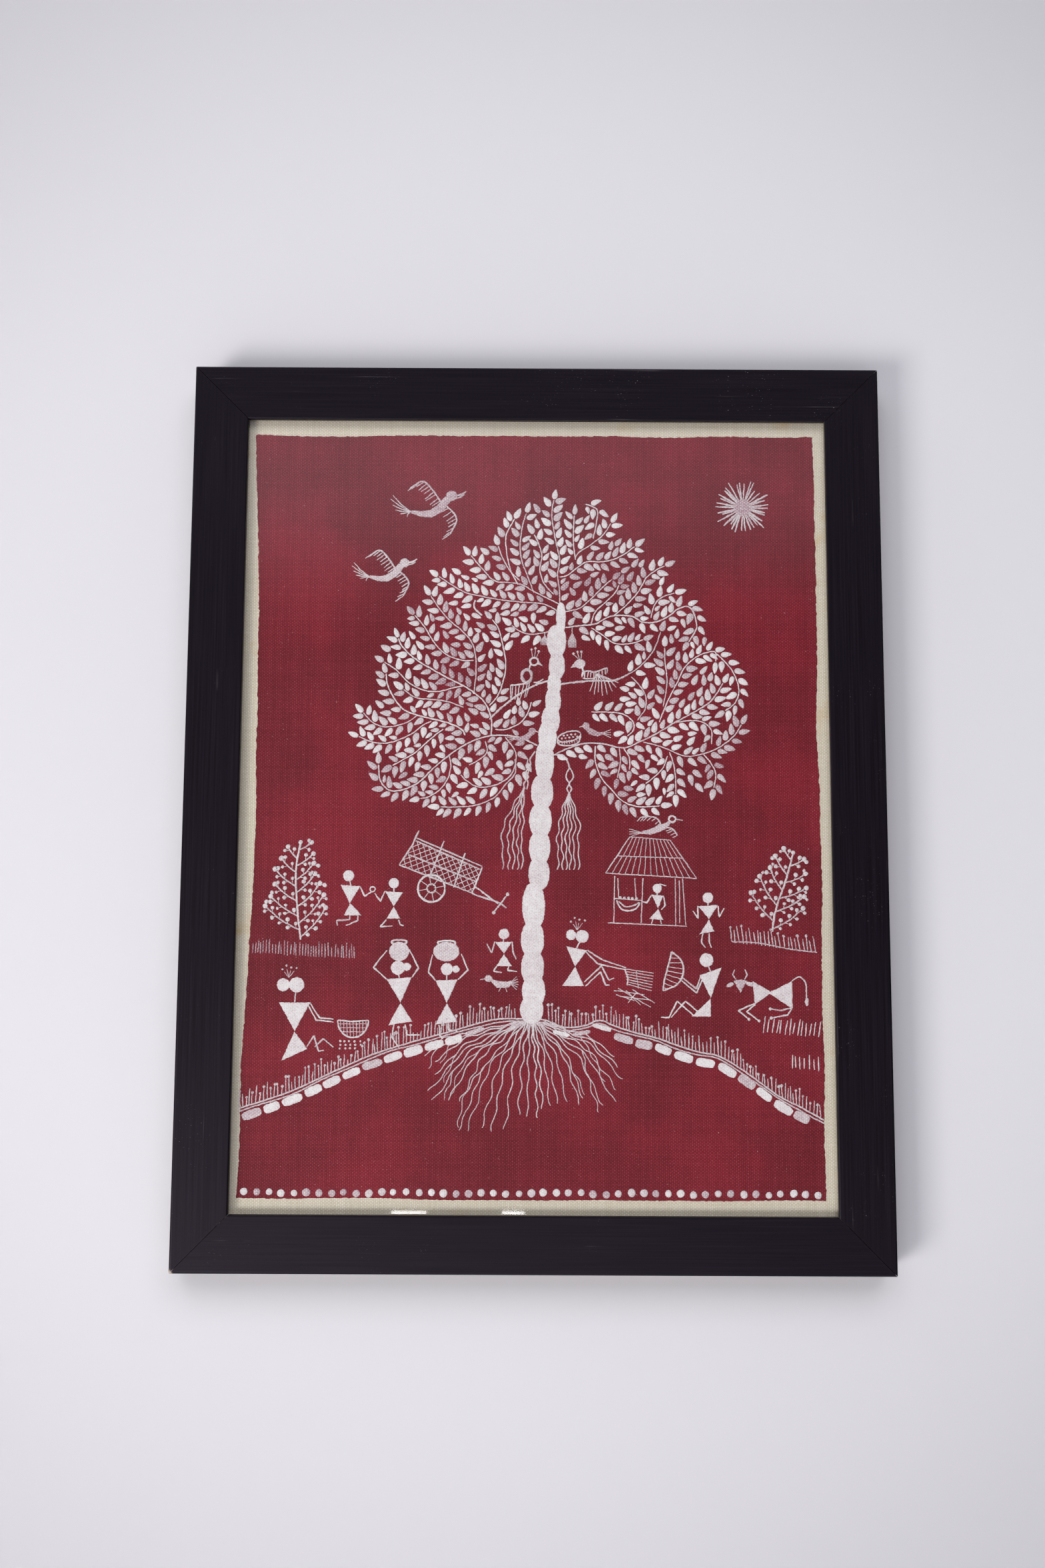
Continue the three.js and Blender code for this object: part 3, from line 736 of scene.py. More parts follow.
class Marks:
    def __init__(self, name):
        self.name, self.lines, self.patches, self.stamps = name, [], [], {"leaf": [], "dot": []}

    def line(self, points, width=0.75, thin=0.15, smooth=False, tip=1.0):
        """A stroke of this width; its far end is tip times as wide."""
        self.lines.append((smooth_path(points) if smooth else list(points), width, thin, tip))

    def patch(self, outline, thin=0.1, proud=PATCH_PROUD):
        self.patches.append((outline, thin, proud - STAGGER * (len(self.patches) % STAGGER_CYCLE)))

    def dot(self, x, z, size=1.6, thin=0.1):
        self.stamps["dot"].append((x, z - size / 2, size, size, 0.0, thin))

    def leaf(self, x, z, angle, long=5.6, wide=3.1, thin=0.1):
        """A leaf whose stalk end is at x, z and which points along angle, in degrees from x."""
        self.stamps["leaf"].append((x, z, long, wide, math.radians(90 - angle), thin))

    def make(self):
        parts = [part for part in (self._lines(), self._patches(), *self._stamped()) if part]
        whole = join(self.name, parts)
        print(f"{self.name}: {len(self.lines)} lines, {len(self.patches)} patches, "
              f"{sum(map(len, self.stamps.values()))} dabs, {len(whole.data.polygons)} faces")
        return whole

    def _lines(self):
        points, edges, widths, thins = [], [], [], []
        for path, width, thin, tip in self.lines:
            start = len(points)
            points += [spot(x, z) for x, z in path]
            edges += [(start + i, start + i + 1) for i in range(len(path) - 1)]
            last = len(path) - 1
            widths += [width * LOADED / 2 * MM * (1 + (tip - 1) * i / last) for i in range(last + 1)]
            widths[start] *= START_WIDTH
            widths[-1] *= END_WIDTH
            thins += [min(1.0, max(0.0, THIN_SHARE * thin + dice.uniform(-0.08, 0.1)))] * len(path)
        if not points:
            return None
        mesh = new_mesh(self.name, points, edges)
        put_numbers(mesh, width=widths, thin=thins)
        values = {**LINE_TREE_SIZES, "Seed": dice.uniform(0, 50), "Paint": WHITE}
        return grow(self.name + "_lines", mesh, BRUSH_TREE, values)

    def _stamped(self):
        for kind, shape in (("leaf", LEAF), ("dot", DOT)):
            rows = self.stamps[kind]
            if not rows:
                continue
            mesh = new_mesh(self.name, [spot(x, z) for x, z, *rest in rows])
            put_numbers(
                mesh, long=[row[2] * MM for row in rows], wide=[row[3] * MM for row in rows],
                turn=[row[4] for row in rows], thin=[row[5] for row in rows],
            )
            values = {**DAB_TREE_SIZES, "Dab": shape, "Seed": dice.uniform(0, 50), "Paint": WHITE}
            yield grow(f"{self.name}_{kind}s", mesh, DAB_TREE, values)

    def _patches(self):
        if not self.patches:
            return None
        points, faces, thins = [], [], []
        for outline, thin, proud in self.patches:
            rim = ragged_outline(outline)
            inner = inset(rim, RIM)
            faces += slab_faces(len(rim), len(points))
            points += [spot(x, z, -0.04) for x, z in rim] + [spot(x, z, proud) for x, z in inner]
            thins += [thin] * (2 * len(rim))
        mesh = new_mesh(self.name, points, [], faces)
        put_numbers(mesh, thin=thins)
        mesh.materials.append(WHITE)
        return bpy.data.objects.new(self.name + "_patches", mesh)


def ragged_outline(outline, step=0.7, rough=0.3):
    """The outline, anticlockwise, in short steps, each point moved a little by noise."""
    area = sum(a[0] * b[1] - b[0] * a[1] for a, b in zip(outline, [*outline[1:], outline[0]]))
    ring = outline if area > 0 else outline[::-1]
    rim = []
    for a, b in zip(ring, [*ring[1:], ring[0]]):
        count = max(1, round(math.dist(a, b) / step))
        for i in range(count):
            x, z = between(a, b, i / count)
            push = noise.noise_vector(Vector((x * 1.3, z * 1.3, 4.0)))
            rim.append((x + rough * push.x, z + rough * push.y))
    return rim


def inset(ring, by):
    """The anticlockwise ring moved inwards, point by point."""
    inner = []
    for before, here, after in zip([ring[-1], *ring[:-1]], ring, [*ring[1:], ring[0]]):
        along = Vector((after[0] - before[0], after[1] - before[1]))
        inward = Vector((-along.y, along.x)).normalized() if along.length else Vector((0, 0))
        inner.append((here[0] + inward.x * by, here[1] + inward.y * by))
    return inner


def join(name, parts):
    """One object out of the parts, with the white paint as its only material."""
    for part in parts:
        bpy.context.scene.collection.objects.link(part)
    whole = parts[0]
    if len(parts) > 1:
        with bpy.context.temp_override(active_object=whole, selected_editable_objects=parts):
            bpy.ops.object.join()
    whole.name = whole.data.name = name
    bpy.context.scene.collection.objects.unlink(whole)
    whole.data.materials.clear()
    return settle(whole, WHITE)


print("leaf and dot dabs have", [len(shape.data.polygons) for shape in (LEAF, DOT)], "faces")

# %% [markdown]
# ## The red ground
#
# The red was rubbed on with a cloth, nearly to the edge, so its border wanders by a millimetre and leaves a
# bare margin. It is one thin slab of paint with that wandering outline.

# %% Rub on the red ground
GROUND_CORNERS = [
    (-143.5, -190.5), (141.2, -190.2), (141.4, 190.8), (-143.2, 190.2),
    (-139.6, 100), (-138.6, 10), (-140, -80), (-143, -125),
]


def red_ground():
    rim = []
    for a, b in zip(GROUND_CORNERS, [*GROUND_CORNERS[1:], GROUND_CORNERS[0]]):
        count = round(math.dist(a, b) / 1.2)
        for i in range(count):
            x, z = between(a, b, i / count)
            slow = noise.noise_vector(Vector((x * 0.025, z * 0.025, 1.0)))
            quick = noise.noise_vector(Vector((x * 0.7, z * 0.7, 2.0)))
            rim.append((x + 1.2 * slow.x + 0.5 * quick.x, z + 1.0 * slow.y + 0.5 * quick.y))
    points = [spot(x, z, -0.1) for x, z in rim] + [spot(x, z) for x, z in inset(rim, 0.15)]
    mesh = new_mesh("red_ground", points, [], slab_faces(len(rim)))
    return settle(bpy.data.objects.new("red_ground", mesh), GROUND)


ground = red_ground()
print("red ground in mm:", [round(side / MM, 1) for side in ground.dimensions])

# %% [markdown]
# ## The tree
#
# The trunk is a stack of long dabs, each laid over the one below, so its sides are scalloped. The branches
# are drawn from the trunk outwards. Some curl, some end in a tip, and a few are perches without leaves.

# %% Paint the trunk
LOBES = [
    (12.7, 96, 2.5, 8), (10.5, 84, 4.9, 8.4), (10.7, 71.5, 4.1, 7.2), (9.4, 62, 3.5, 6.2),
    (8.9, 53.5, 4, 7), (7.7, 44, 4.7, 7.2), (6.1, 35.5, 4.7, 8), (4.7, 23, 4.8, 10.6),
    (3.5, 7.5, 5.6, 8.8), (2.7, -6.5, 5.7, 8.6), (2.4, -20, 5.4, 8.4), (2.1, -33, 5.3, 8.2),
    (-0.5, -49, 5.7, 11.8), (-1, -65.5, 5.8, 9.2), (-0.9, -79, 5.7, 8.8), (-0.3, -90.5, 5.8, 8),
    (-1.2, -99.5, 5.8, 6.8),
]


def lobe_outline(x, z, wide, high):
    return [
        (x + wide * math.copysign(abs(math.cos(a)) ** 0.82, math.cos(a)), z + high * math.sin(a))
        for a in (math.radians(12 * i) for i in range(30))
    ]


trunk = Marks("tree_trunk")
for i, lobe in enumerate(LOBES):
    trunk.patch(lobe_outline(*lobe), 0.02 + 0.03 * (i % 3), PATCH_PROUD - 0.02 * (i % 2) - 0.001 * i)
trunk.make()

# %% [markdown]
# ## The branches
#
# A branch is one thin stroke, drawn outwards from the trunk or from a bigger branch. A growth rule could make
# such a crown, but a painter bends each branch to fill its share of the cloth, so each one is given by a few
# spots that a smooth curve runs through. Short twigs are thinner, and the bare perches thicker.

# %% Where the branches run
BRANCHES = [
    [(1, 31), (-8, 35), (-20, 36), (-29, 34), (-37, 30), (-44, 25), (-51, 19), (-57, 13), (-64, 9), (-72, 8),
     (-77, 13), (-78, 21)],
    [(-15, 35), (-10, 28), (-10, 21), (-13, 15), (-20, 11), (-28, 10), (-34, 13), (-37, 16)],
    [(-10, 24), (-10, 17), (-15, 11), (-20, 5), (-29, 1), (-39, 0), (-47, 0)],
    [(-22, 36), (-22, 44), (-25, 52), (-30, 57), (-36, 61), (-44, 65), (-53, 70), (-61, 75), (-67, 81),
     (-69, 85)],
    [(-23, 51), (-19, 56), (-16, 64), (-15, 73), (-17, 84), (-19, 91), (-22, 95)],
    [(-31, 57), (-30, 65), (-30, 75), (-32, 83), (-37, 89), (-44, 95), (-49, 101), (-53, 107)],
    [(-31, 74), (-37, 74), (-45, 77), (-51, 83), (-56, 91), (-61, 97)],
    [(-36, 61), (-41, 60), (-49, 58), (-57, 59), (-64, 63), (-70, 69), (-76, 73)],
    [(-36, 50), (-44, 53), (-52, 54), (-60, 55), (-66, 59)],
    [(-35, 36), (-37, 39), (-43, 42), (-51, 44), (-59, 46), (-66, 49), (-71, 55), (-74, 61), (-75, 67)],
    [(-59, 46), (-63, 43), (-68, 41), (-75, 40), (-81, 42), (-86, 47)],
    [(-52, 43), (-56, 41), (-61, 37), (-67, 34), (-73, 32), (-80, 32), (-88, 35)],
    [(-46, 39), (-50, 36), (-55, 31.5), (-60, 27), (-65, 24), (-71, 20.5)],
    [(-25, 33), (-24, 29), (-25, 26), (-29, 23), (-33, 21)],
    [(-43, 26), (-42, 20), (-44, 13), (-48, 8), (-53, 5), (-57, 4)],
    [(-20, 39), (-15, 39), (-8, 42), (-4, 47), (-2, 53)],
    [(12, 99), (4, 103), (-7, 104), (-17, 105), (-28, 107), (-36, 109), (-43, 113), (-49, 117)],
    [(11, 90), (5, 88.5), (-1, 87.5), (-7, 88.5), (-12, 92)],
    [(12, 103), (0, 109), (-7, 113), (-13, 114), (-21, 115), (-27, 121), (-33, 128)],
    [(-8, 115), (-13, 120), (-17, 127), (-19, 133)],
    [(-1, 109), (-4, 117), (-7, 125), (-8, 133), (-7, 143), (-5, 150)],
    [(-9, 113), (-13, 121), (-15, 131), (-15, 139), (-11, 147)],
    [(12, 101), (12, 110), (11, 118), (12, 126), (11, 131), (9, 141), (8, 150), (9, 157)],
    [(9, 108), (4, 114), (2, 121), (3, 128), (1, 135), (-1, 139)],
    [(12, 117), (16, 118), (21, 122), (26, 125), (34, 125), (41, 127), (46, 130), (50, 133)],
    [(20, 127), (22, 130), (28, 134), (34, 139), (38, 145)],
    [(20, 126), (19, 134), (19, 142), (19.5, 149)],
    [(25, 155), (28, 154), (31, 152), (31, 147.5), (29, 137)],
    [(14, 99), (22, 101), (28, 106), (35, 113), (38.5, 116)],
    [(15, 91), (22, 92), (30, 93), (38, 97), (48, 97), (54, 94), (60, 94), (67, 97), (72, 101), (77, 102),
     (80, 98), (81, 91), (77, 84)],
    [(39, 97), (46, 103), (52, 110), (56, 117), (61, 121), (65, 123)],
    [(28, 93), (30, 99), (36, 105), (40, 109), (42, 113)],
    [(28, 91), (34, 87), (40, 83), (48, 83), (54, 85)],
    [(58, 96), (60, 103), (64, 107), (70, 109)],
    [(9, 26), (15, 29), (24, 32), (34, 32), (44, 30), (52, 33), (60, 37), (70, 43), (79, 48), (88, 54),
     (94, 63)],
    [(54, 33), (62, 31), (67, 29), (75, 26), (83, 27), (91, 30), (99, 36), (103, 42)],
    [(70, 43), (78, 44), (84, 43), (88, 39), (88, 32)],
    [(62, 43), (66, 53), (71, 63), (75, 71), (82, 77), (90, 79), (90.5, 74)],
    [(64, 51), (66, 63), (65, 74), (65, 81)],
    [(91, 78), (96, 73), (100, 67), (102, 59), (100, 53), (95, 49)],
    [(51, 44), (55, 50), (55, 57), (51, 63), (48, 66)],
    [(28, 48), (36, 48), (44, 47), (49, 43), (49, 39), (46, 36)],
    [(46, 67), (52, 71), (59, 79), (63, 89)],
    [(30, 31), (30, 23), (33, 15), (38, 9), (44, 3), (52, 0.5), (62, 1)],
    [(42, 30), (42.5, 23), (41, 15)],
    [(44, 30), (47, 25), (47, 19)],
    [(67, 28), (69, 22), (70, 14), (70, 7)],
    [(66, 26), (63, 19), (55, 12)],
    [(84, 27), (88, 22), (90, 17), (89, 10)],
]
PERCHES = [
    [(-23, 44), (-17, 50), (-8, 57), (1, 62), (8, 64)],
    [(12, 62), (19, 63), (30, 64), (39, 64), (46, 67)],
    [(-30.5, 105), (-31, 101), (-27, 97)],
]

TWIG_WIDTH, BRANCH_WIDTH, LONG_PATH = 0.58, 0.72, 9

branches = Marks("tree_branches")
for path in BRANCHES:
    branches.line(path, TWIG_WIDTH if len(path) < LONG_PATH else BRANCH_WIDTH, 0.15, smooth=True)
for path in PERCHES:
    branches.line(path, 0.95, 0.2, smooth=True)
branches.make()

# %% [markdown]
# ## The leaves
#
# Painters place leaves by eye: along each branch, one side then the other, leaning forward, wherever one
# fits. Scattering them evenly would pile them up, so the painter's rule is used. Each candidate leaf is tried
# against the leaves, branches and trunk already there, then turned or made a bit smaller, and left out if it
# still doesn't fit. A later pass fills the gaps.

# %% Fit leaves along the branches
LEAF_LONG = (5.4, 6.6)
LEAF_SHAPE = (0.5, 0.58)
LEAF_GAP = 0.3
BRANCH_GAP = 0.25
WOOD_STEP = 0.58
WOOD_RADIUS = 0.4
GAP_RADIUS = 1.2
CELL = 6
NO_LEAVES = [
    (-14, 55, 7, 80), (15, 55, 43, 80), (11, 31, 40, 44), (-9, 34, 1, 41), (2, 78, 7, 88), (15, 78, 22, 92),
]


class Crowd:
    """Round spots already taken, kept in square cells so that only near ones are compared."""

    def __init__(self):
        self.cells = {}

    def add(self, x, z, radius, owner):
        self.cells.setdefault((int(x // CELL), int(z // CELL)), []).append((x, z, radius, owner))

    def clear(self, x, z, radius, gap, but=None):
        for i in (-1, 0, 1):
            for j in (-1, 0, 1):
                for u, v, r, owner in self.cells.get((int(x // CELL) + i, int(z // CELL) + j), ()):
                    if owner != but and math.hypot(u - x, v - z) < radius + r + gap:
                        return False
        return True


leaf_crowd, wood_crowd = Crowd(), Crowd()
wood = [smooth_path(path, WOOD_STEP) for path in BRANCHES + PERCHES]
for i, path in enumerate(wood):
    for x, z in path:
        wood_crowd.add(x, z, WOOD_RADIUS, i)
for x, z, wide, high in LOBES:
    for k in range(-4, 5):
        wood_crowd.add(x, z + high * k / 5, wide * 0.85, "trunk")


def leaf_spots(x, z, angle, long, wide):
    """Three round spots that stand for one leaf when room is looked for."""
    return [(*polar((x, z), angle, long * t), wide * r) for t, r in ((0.2, 0.36), (0.45, 0.46), (0.75, 0.3))]


def fits(spots, branch):
    for x, z, radius in spots:
        if any(x0 < x < x1 and z0 < z < z1 for x0, z0, x1, z1 in NO_LEAVES):
            return False
        if not leaf_crowd.clear(x, z, radius, LEAF_GAP):
            return False
        if not wood_crowd.clear(x, z, radius, BRANCH_GAP, but=branch):
            return False
    return True


def try_leaf(marks, base, angle, branch, sizes=(1.0, 0.88), turns=(0, 10, -10)):
    long = dice.uniform(*LEAF_LONG)
    shape = dice.uniform(*LEAF_SHAPE)
    for size in sizes:
        for turn in turns:
            length = long * size
            spots = leaf_spots(*base, angle + turn, length, length * shape)
            if fits(spots, branch):
                for x, z, radius in spots:
                    leaf_crowd.add(x, z, radius, "leaf")
                patchy = noise.noise(Vector((base[0] * 0.04, base[1] * 0.04, 9)))
                thin = min(0.55, max(0.0, 0.07 + 0.4 * patchy + dice.uniform(-0.08, 0.2)))
                marks.leaf(*base, angle + turn, length, length * shape, thin)
                return True
    return False


def dress_branch(marks, index, start, pitch, sizes, lean, off=0.9):
    """Tries leaves on both sides of a branch; off is how far from it they start."""
    path = wood[index]
    side = 1
    k = start
    while k < len(path) - 2:
        here, ahead = path[k], path[min(k + 3, len(path) - 1)]
        along = math.degrees(heading(here, ahead))
        for way in (side, -side):
            angle = along + way * (lean + dice.uniform(-5, 5))
            base = polar(here, along + way * 90, off)
            if off > 2 and wood_crowd.clear(*polar(base, angle, 3), 0, 5.2, but=index):
                continue
            if try_leaf(marks, base, angle, index, sizes) and pitch > 3:
                break
        side = -side
        k += pitch


leaves = Marks("tree_leaves")
for i in range(len(BRANCHES)):
    tip = math.degrees(heading(wood[i][-5], wood[i][-1]))
    try_leaf(leaves, polar(wood[i][-1], tip, 0.3), tip, i)
for i in range(len(BRANCHES)):
    dress_branch(leaves, i, 4, 4, (1.0, 0.92), 46)
for i in range(len(BRANCHES)):
    dress_branch(leaves, i, 2, 2, (0.95, 0.85, 0.75), 44)
for off in (2.6, 4.0, 5.4):
    for i in range(len(BRANCHES)):
        dress_branch(leaves, i, 5, 2, (0.95, 0.82), 24, off)


def surrounded(x, z):
    """Whether there are leaves on all four sides, so that the spot is inside the crown."""
    return all(not leaf_crowd.clear(*polar((x, z), angle, 6.5), 0, 3.4) for angle in (35, 125, 215, 305))


def nearest_way(x, z):
    """The direction in degrees of the branch that runs closest to the spot."""
    branch, k = min(
        ((i, k) for i, path in enumerate(wood) for k in range(0, len(path) - 4, 4)),
        key=lambda at: math.dist(wood[at[0]][at[1]], (x, z)),
    )
    return math.degrees(heading(wood[branch][k], wood[branch][k + 4]))


filled = 0
for column in range(-92, 106, 2):
    for row in range(-2, 162, 2):
        place = (column + dice.uniform(-0.8, 0.8), row + dice.uniform(-0.8, 0.8))
        free = leaf_crowd.clear(*place, GAP_RADIUS, LEAF_GAP)
        if free and wood_crowd.clear(*place, GAP_RADIUS, BRANCH_GAP) and surrounded(*place):
            way = nearest_way(*place) + dice.uniform(10, 35)
            base = polar(place, way, -2.6)
            filled += try_leaf(leaves, base, way, None, (0.95, 0.82, 0.72), (0, 25, -25, 60))
print("leaves that fill gaps:", filled)
leaves.make()

# %% [markdown]
# ## The roots
#
# The roots fan out under the trunk as thin wavy strokes, some forked. They all follow one rule, so a loop
# draws them: each leaves the trunk's foot at its own angle, runs as far as a painted root of that angle does,
# and wavers from side to side on the way.

# %% Roots
ROOTS = 27
FORKED = 0.36
REACH = [
    (196, 54), (208, 60), (225, 66), (243, 63), (256, 60),
    (268, 54), (284, 50), (300, 54), (318, 58), (342, 54),
]


def wavy(points, swing, wave):
    """A smooth path with a gentle side-to-side wave along it."""
    path = smooth_path(points, 1.0)
    phase = dice.uniform(0, 2 * math.pi)
    shaken = []
    for i, (x, z) in enumerate(path):
        way = heading_at(path, i)
        push = swing * math.sin(2 * math.pi * i / wave + phase) * min(1.0, i / 8)
        shaken.append((x - push * math.sin(way), z + push * math.cos(way)))
    return shaken


def reach_at(angle):
    """How far a root runs that leaves at this angle, in degrees."""
    for (a, near), (b, far) in zip(REACH, REACH[1:]):
        if angle <= b:
            return near + (far - near) * (angle - a) / (b - a)
    return REACH[-1][1]


roots = Marks("tree_roots")
for i in range(ROOTS):
    t = i / (ROOTS - 1)
    angle = 199 + 138 * t + dice.uniform(-1.5, 1.5)
    foot = (-9 + 14 * t, -105.2 - 0.4 * abs(t - 0.5))
    length = reach_at(angle) * dice.uniform(0.8, 1.0)
    end = polar((-2, -104), angle, length)
    level = 0.55 * math.cos(math.radians(angle))
    knee = (foot[0] + (end[0] - foot[0]) * 0.55 + 6 * level, foot[1] + (end[1] - foot[1]) * 0.42)
    course = [foot, between(foot, knee, 0.5), knee, between(knee, end, 0.55), end]
    path = wavy(course, dice.uniform(0.4, 0.75), dice.uniform(9, 15))
    roots.line(path, dice.uniform(0.58, 0.8), 0.25, tip=0.62)
    for share in (0.45, 0.7):
        if dice.random() < FORKED:
            fork = path[int(share * len(path))]
            way = math.degrees(heading(fork, end)) + dice.choice((-20, -13, 13, 20))
            far = length * (1 - share) * dice.uniform(0.7, 1.0)
            bend = polar(fork, way, far * 0.5)
            tip = (bend[0] + 0.3 * (end[0] - fork[0]), bend[1] - far * 0.5)
            roots.line(wavy([fork, bend, tip], 0.6, dice.uniform(8, 12)), 0.55, 0.35, tip=0.6)
roots.make()

# %% [markdown]
# ## The hill and its stones
#
# The hill is a double line with long rounded stones under it. The stones could be stamped from one dab, but
# each is painted on its own, so each gets its own length, tilt and plumpness, set end to end along the line.

# %% The hill and its stones
HILL = smooth_path([
    (-146, -148.5), (-120, -140), (-100, -131), (-80, -122), (-60, -115.5), (-40, -110), (-20, -104.5),
    (-5, -104), (5, -104.5), (15, -108), (25, -107), (32, -104.5), (40, -107.5), (50, -110.5), (60, -113),
    (70, -116.5), (80, -119.5), (90, -121.5), (100, -127), (110, -134), (120, -141), (130, -146),
    (142, -152.5),
], 1.0)


def hill_at(x):
    """The height of the hill at x and its slope in degrees."""
    k = min(range(len(HILL) - 1), key=lambda i: abs(HILL[i][0] - x))
    return HILL[k][1], math.degrees(heading(HILL[k], HILL[k + 1]))


hill = Marks("hill_line")
inside = [point for point in HILL if -144 < point[0] < 141]
hill.line(inside, 0.75, 0.2)
hill.line([(x, z - 1.5 - 0.3 * math.sin(x * 0.2)) for x, z in inside], 0.7, 0.3)
hill.make()


def stone_outline(x, z, wide, high, tilt):
    """A rounded block: a disc with its sides squared off."""
    lean = math.radians(tilt + dice.uniform(-3, 3))
    outline = []
    for i in range(24):
        a = math.radians(15 * i)
        u = wide * math.copysign(abs(math.cos(a)) ** 0.55, math.cos(a))
        v = high * math.copysign(abs(math.sin(a)) ** 0.6, math.sin(a))
        outline.append(turned_spot(x, z, u, v, lean))
    return outline


stones = Marks("hill_stones")
for low, high in ((-143, -24), (8, 141)):
    x = low + 1
    while x < high - 8:
        long = dice.uniform(8.2, 10.4)
        z, slope = hill_at(x + long / 2)
        near = abs(x) < 38
        plump = dice.uniform(1.0, 1.3) if near else dice.uniform(1.9, 2.3)
        centre = (x + long / 2, z - (3.4 if near else 4.6))
        stones.patch(stone_outline(*centre, long / 2, plump, slope), dice.choice((0.0, 0.04, 0.25)))
        x += long * math.cos(math.radians(slope)) + dice.uniform(0.7, 1.6)
stones.make()

# %% [markdown]
# ## Stalks, grass and the border
#
# Along the hill stands a row of stalks, most of them ending in a dot, and tufts of grass grow here and there.
# Rows like these are painted fast, stroke beside stroke, so a loop with a little chance in its steps is close
# to how they were made. The row of dots along the bottom closes the picture.

# %% Stalks, grass and the row of dots
def grass(marks, x0, x1, z0, z1, gap, tall, thin, dotted=0.0, lean=0.0):
    x = x0
    while x < x1:
        foot = z0 + (z1 - z0) * (x - x0) / (x1 - x0)
        height = dice.uniform(*tall)
        top = (x + lean * height + dice.uniform(-0.4, 0.4), foot + height)
        marks.line([(x, foot + dice.uniform(-0.4, 0.4)), between((x, foot), top, 0.5), top], 0.62, thin)
        if dice.random() < dotted:
            marks.dot(*top, dice.uniform(1.25, 1.75), thin * 0.7)
        x += gap * dice.uniform(0.75, 1.3)


stalks = Marks("hill_stalks")
x = -143.0
while x < 140:
    if not -8 < x < 6:
        z, slope = hill_at(x)
        tall = dice.uniform(4.0, 8.5) + 2.5 * noise.noise(Vector((x * 0.05, 3, 0)))
        top = (x + dice.uniform(-0.5, 0.5), z + tall)
        stalks.line([(x, z + 0.3), between((x, z), top, 0.5), top], 0.6, 0.35)
        if dice.random() < 0.62:
            stalks.dot(*top, dice.uniform(1.1, 1.7), 0.2)
    x += dice.uniform(1.25, 2.0)
stalks.make()

meadow = Marks("grass_patches")
grass(meadow, -138.5, -88, -72.5, -75, 1.35, (4.5, 7.5), 0.75)
grass(meadow, 97, 139, -66, -71, 1.8, (5, 9), 0.4, 0.1, -0.12)
grass(meadow, 112, 140, -110, -112, 2.0, (5.5, 8.5), 0.1, 0.0, 0.15)
grass(meadow, 126, 140, -127, -128.5, 2.0, (5, 7.5), 0.1)
meadow.line([(97, -66), (110, -66.5), (126, -69.5), (139, -71)], 0.6, 0.6, smooth=True)
meadow.make()

BORDER_DOTS = 47
border = Marks("border_dots")
for i in range(BORDER_DOTS):
    border.dot(-139.8 + 6.03 * i + dice.uniform(-0.3, 0.3), -187.3 + dice.uniform(-0.5, 0.5),
               dice.uniform(3.4, 4.2), dice.choice((0.0, 0.1, 0.3)))
border.make()

# %% [markdown]
# ## Flying birds and the sun
#
# A flying bird is a crescent body with combs of short strokes for wings and tail, and the sun is a loaded
# disc with thin rays. Both are rules rather than shapes: a function draws a bird at any place and size, and a
# loop draws the rays.

# %% Sky: two birds and the sun
def comb(marks, spine, count, length, angle, spread=0, width=0.5, thin=0.4):
    """Short strokes along a spine, each turned a little further than the one before."""
    path = smooth_path(spine)
    marks.line(path, width * 1.3, thin)
    for i in range(count):
        t = i / (count - 1)
        root = path[min(len(path) - 1, round(t * (len(path) - 1)))]
        tip = polar(root, angle + spread * (t - 0.5) + dice.uniform(-4, 4), length * dice.uniform(0.8, 1.1))
        marks.line([root, between(root, tip, 0.5), tip], width, thin)


def band(path, widths):
    """The outline of a strip along the path, with these full widths at its points."""
    left, right = [], []
    for i, ((x, z), width) in enumerate(zip(path, widths)):
        way = heading_at(path, i)
        off = (-math.sin(way) * width / 2, math.cos(way) * width / 2)
        left.append((x + off[0], z + off[1]))
        right.append((x - off[0], z - off[1]))
    return right + left[::-1]


def flying_bird(marks, x, z, size, thin):
    """A bird flying to the right, drawn about the middle of its head."""
    def at(*points):
        return [(x + size * u, z + size * v) for u, v in points]

    spine = at((-20.6, -8.4), (-15.6, -9.6), (-10.3, -9.4), (-5.7, -6.5), (-1.8, -1.5))
    marks.patch(band(spine, [size * width for width in (1.6, 3, 4.2, 4.4, 3.8)]), thin)
    marks.patch(disc(x, z, 2.9 * size, 2.7 * size), thin, PATCH_PROUD - 0.01)
    marks.line(at((2.2, 0), (5, 0.6), (7.4, 2.3)), 1.1 * size, thin)
    marks.line(at((2.2, -1.3), (4.6, -0.7), (6.4, 0.6)), 0.9 * size, thin)
    far_wing = at((-5, -4), (-9, 2), (-13, 6.6), (-15.8, 7.4), (-18.6, 5.6))
    near_wing = at((-2.7, -5.3), (1, -8.8), (2.6, -13), (-0.6, -20))
    comb(marks, far_wing, 12, 5.8 * size, 217, 0, 0.62, thin + 0.1)
    comb(marks, near_wing, 9, 5.2 * size, 213, 0, 0.62, thin + 0.1)
    for u, v in ((-29.8, 0), (-31, -1.9), (-30, -5), (-28.6, -7.6), (-26, -9.6), (-22.6, -11)):
        marks.line([*at((-20.6, -8.4)), *at(((u - 22) / 2, v / 2 - 4.4)), *at((u, v))], 0.62 * size, thin)


sky_birds = Marks("flying_birds")
flying_bird(sky_birds, -43, 159, 1.0, 0.35)
flying_bird(sky_birds, -66.5, 124, 0.86, 0.2)
sky_birds.make()

SUN, RAYS = (105, 153.5), 34
sun = Marks("painted_sun")
sun.patch(disc(*SUN, 4.6), 0.42)
for i in range(RAYS):
    angle = i * 360 / RAYS + dice.uniform(-3.5, 3.5)
    reach = dice.uniform(10.5, 15.0)
    sun.line([polar(SUN, angle, r) for r in (4.0, 8, reach)], dice.uniform(0.7, 1.15), 0.3)
sun.make()

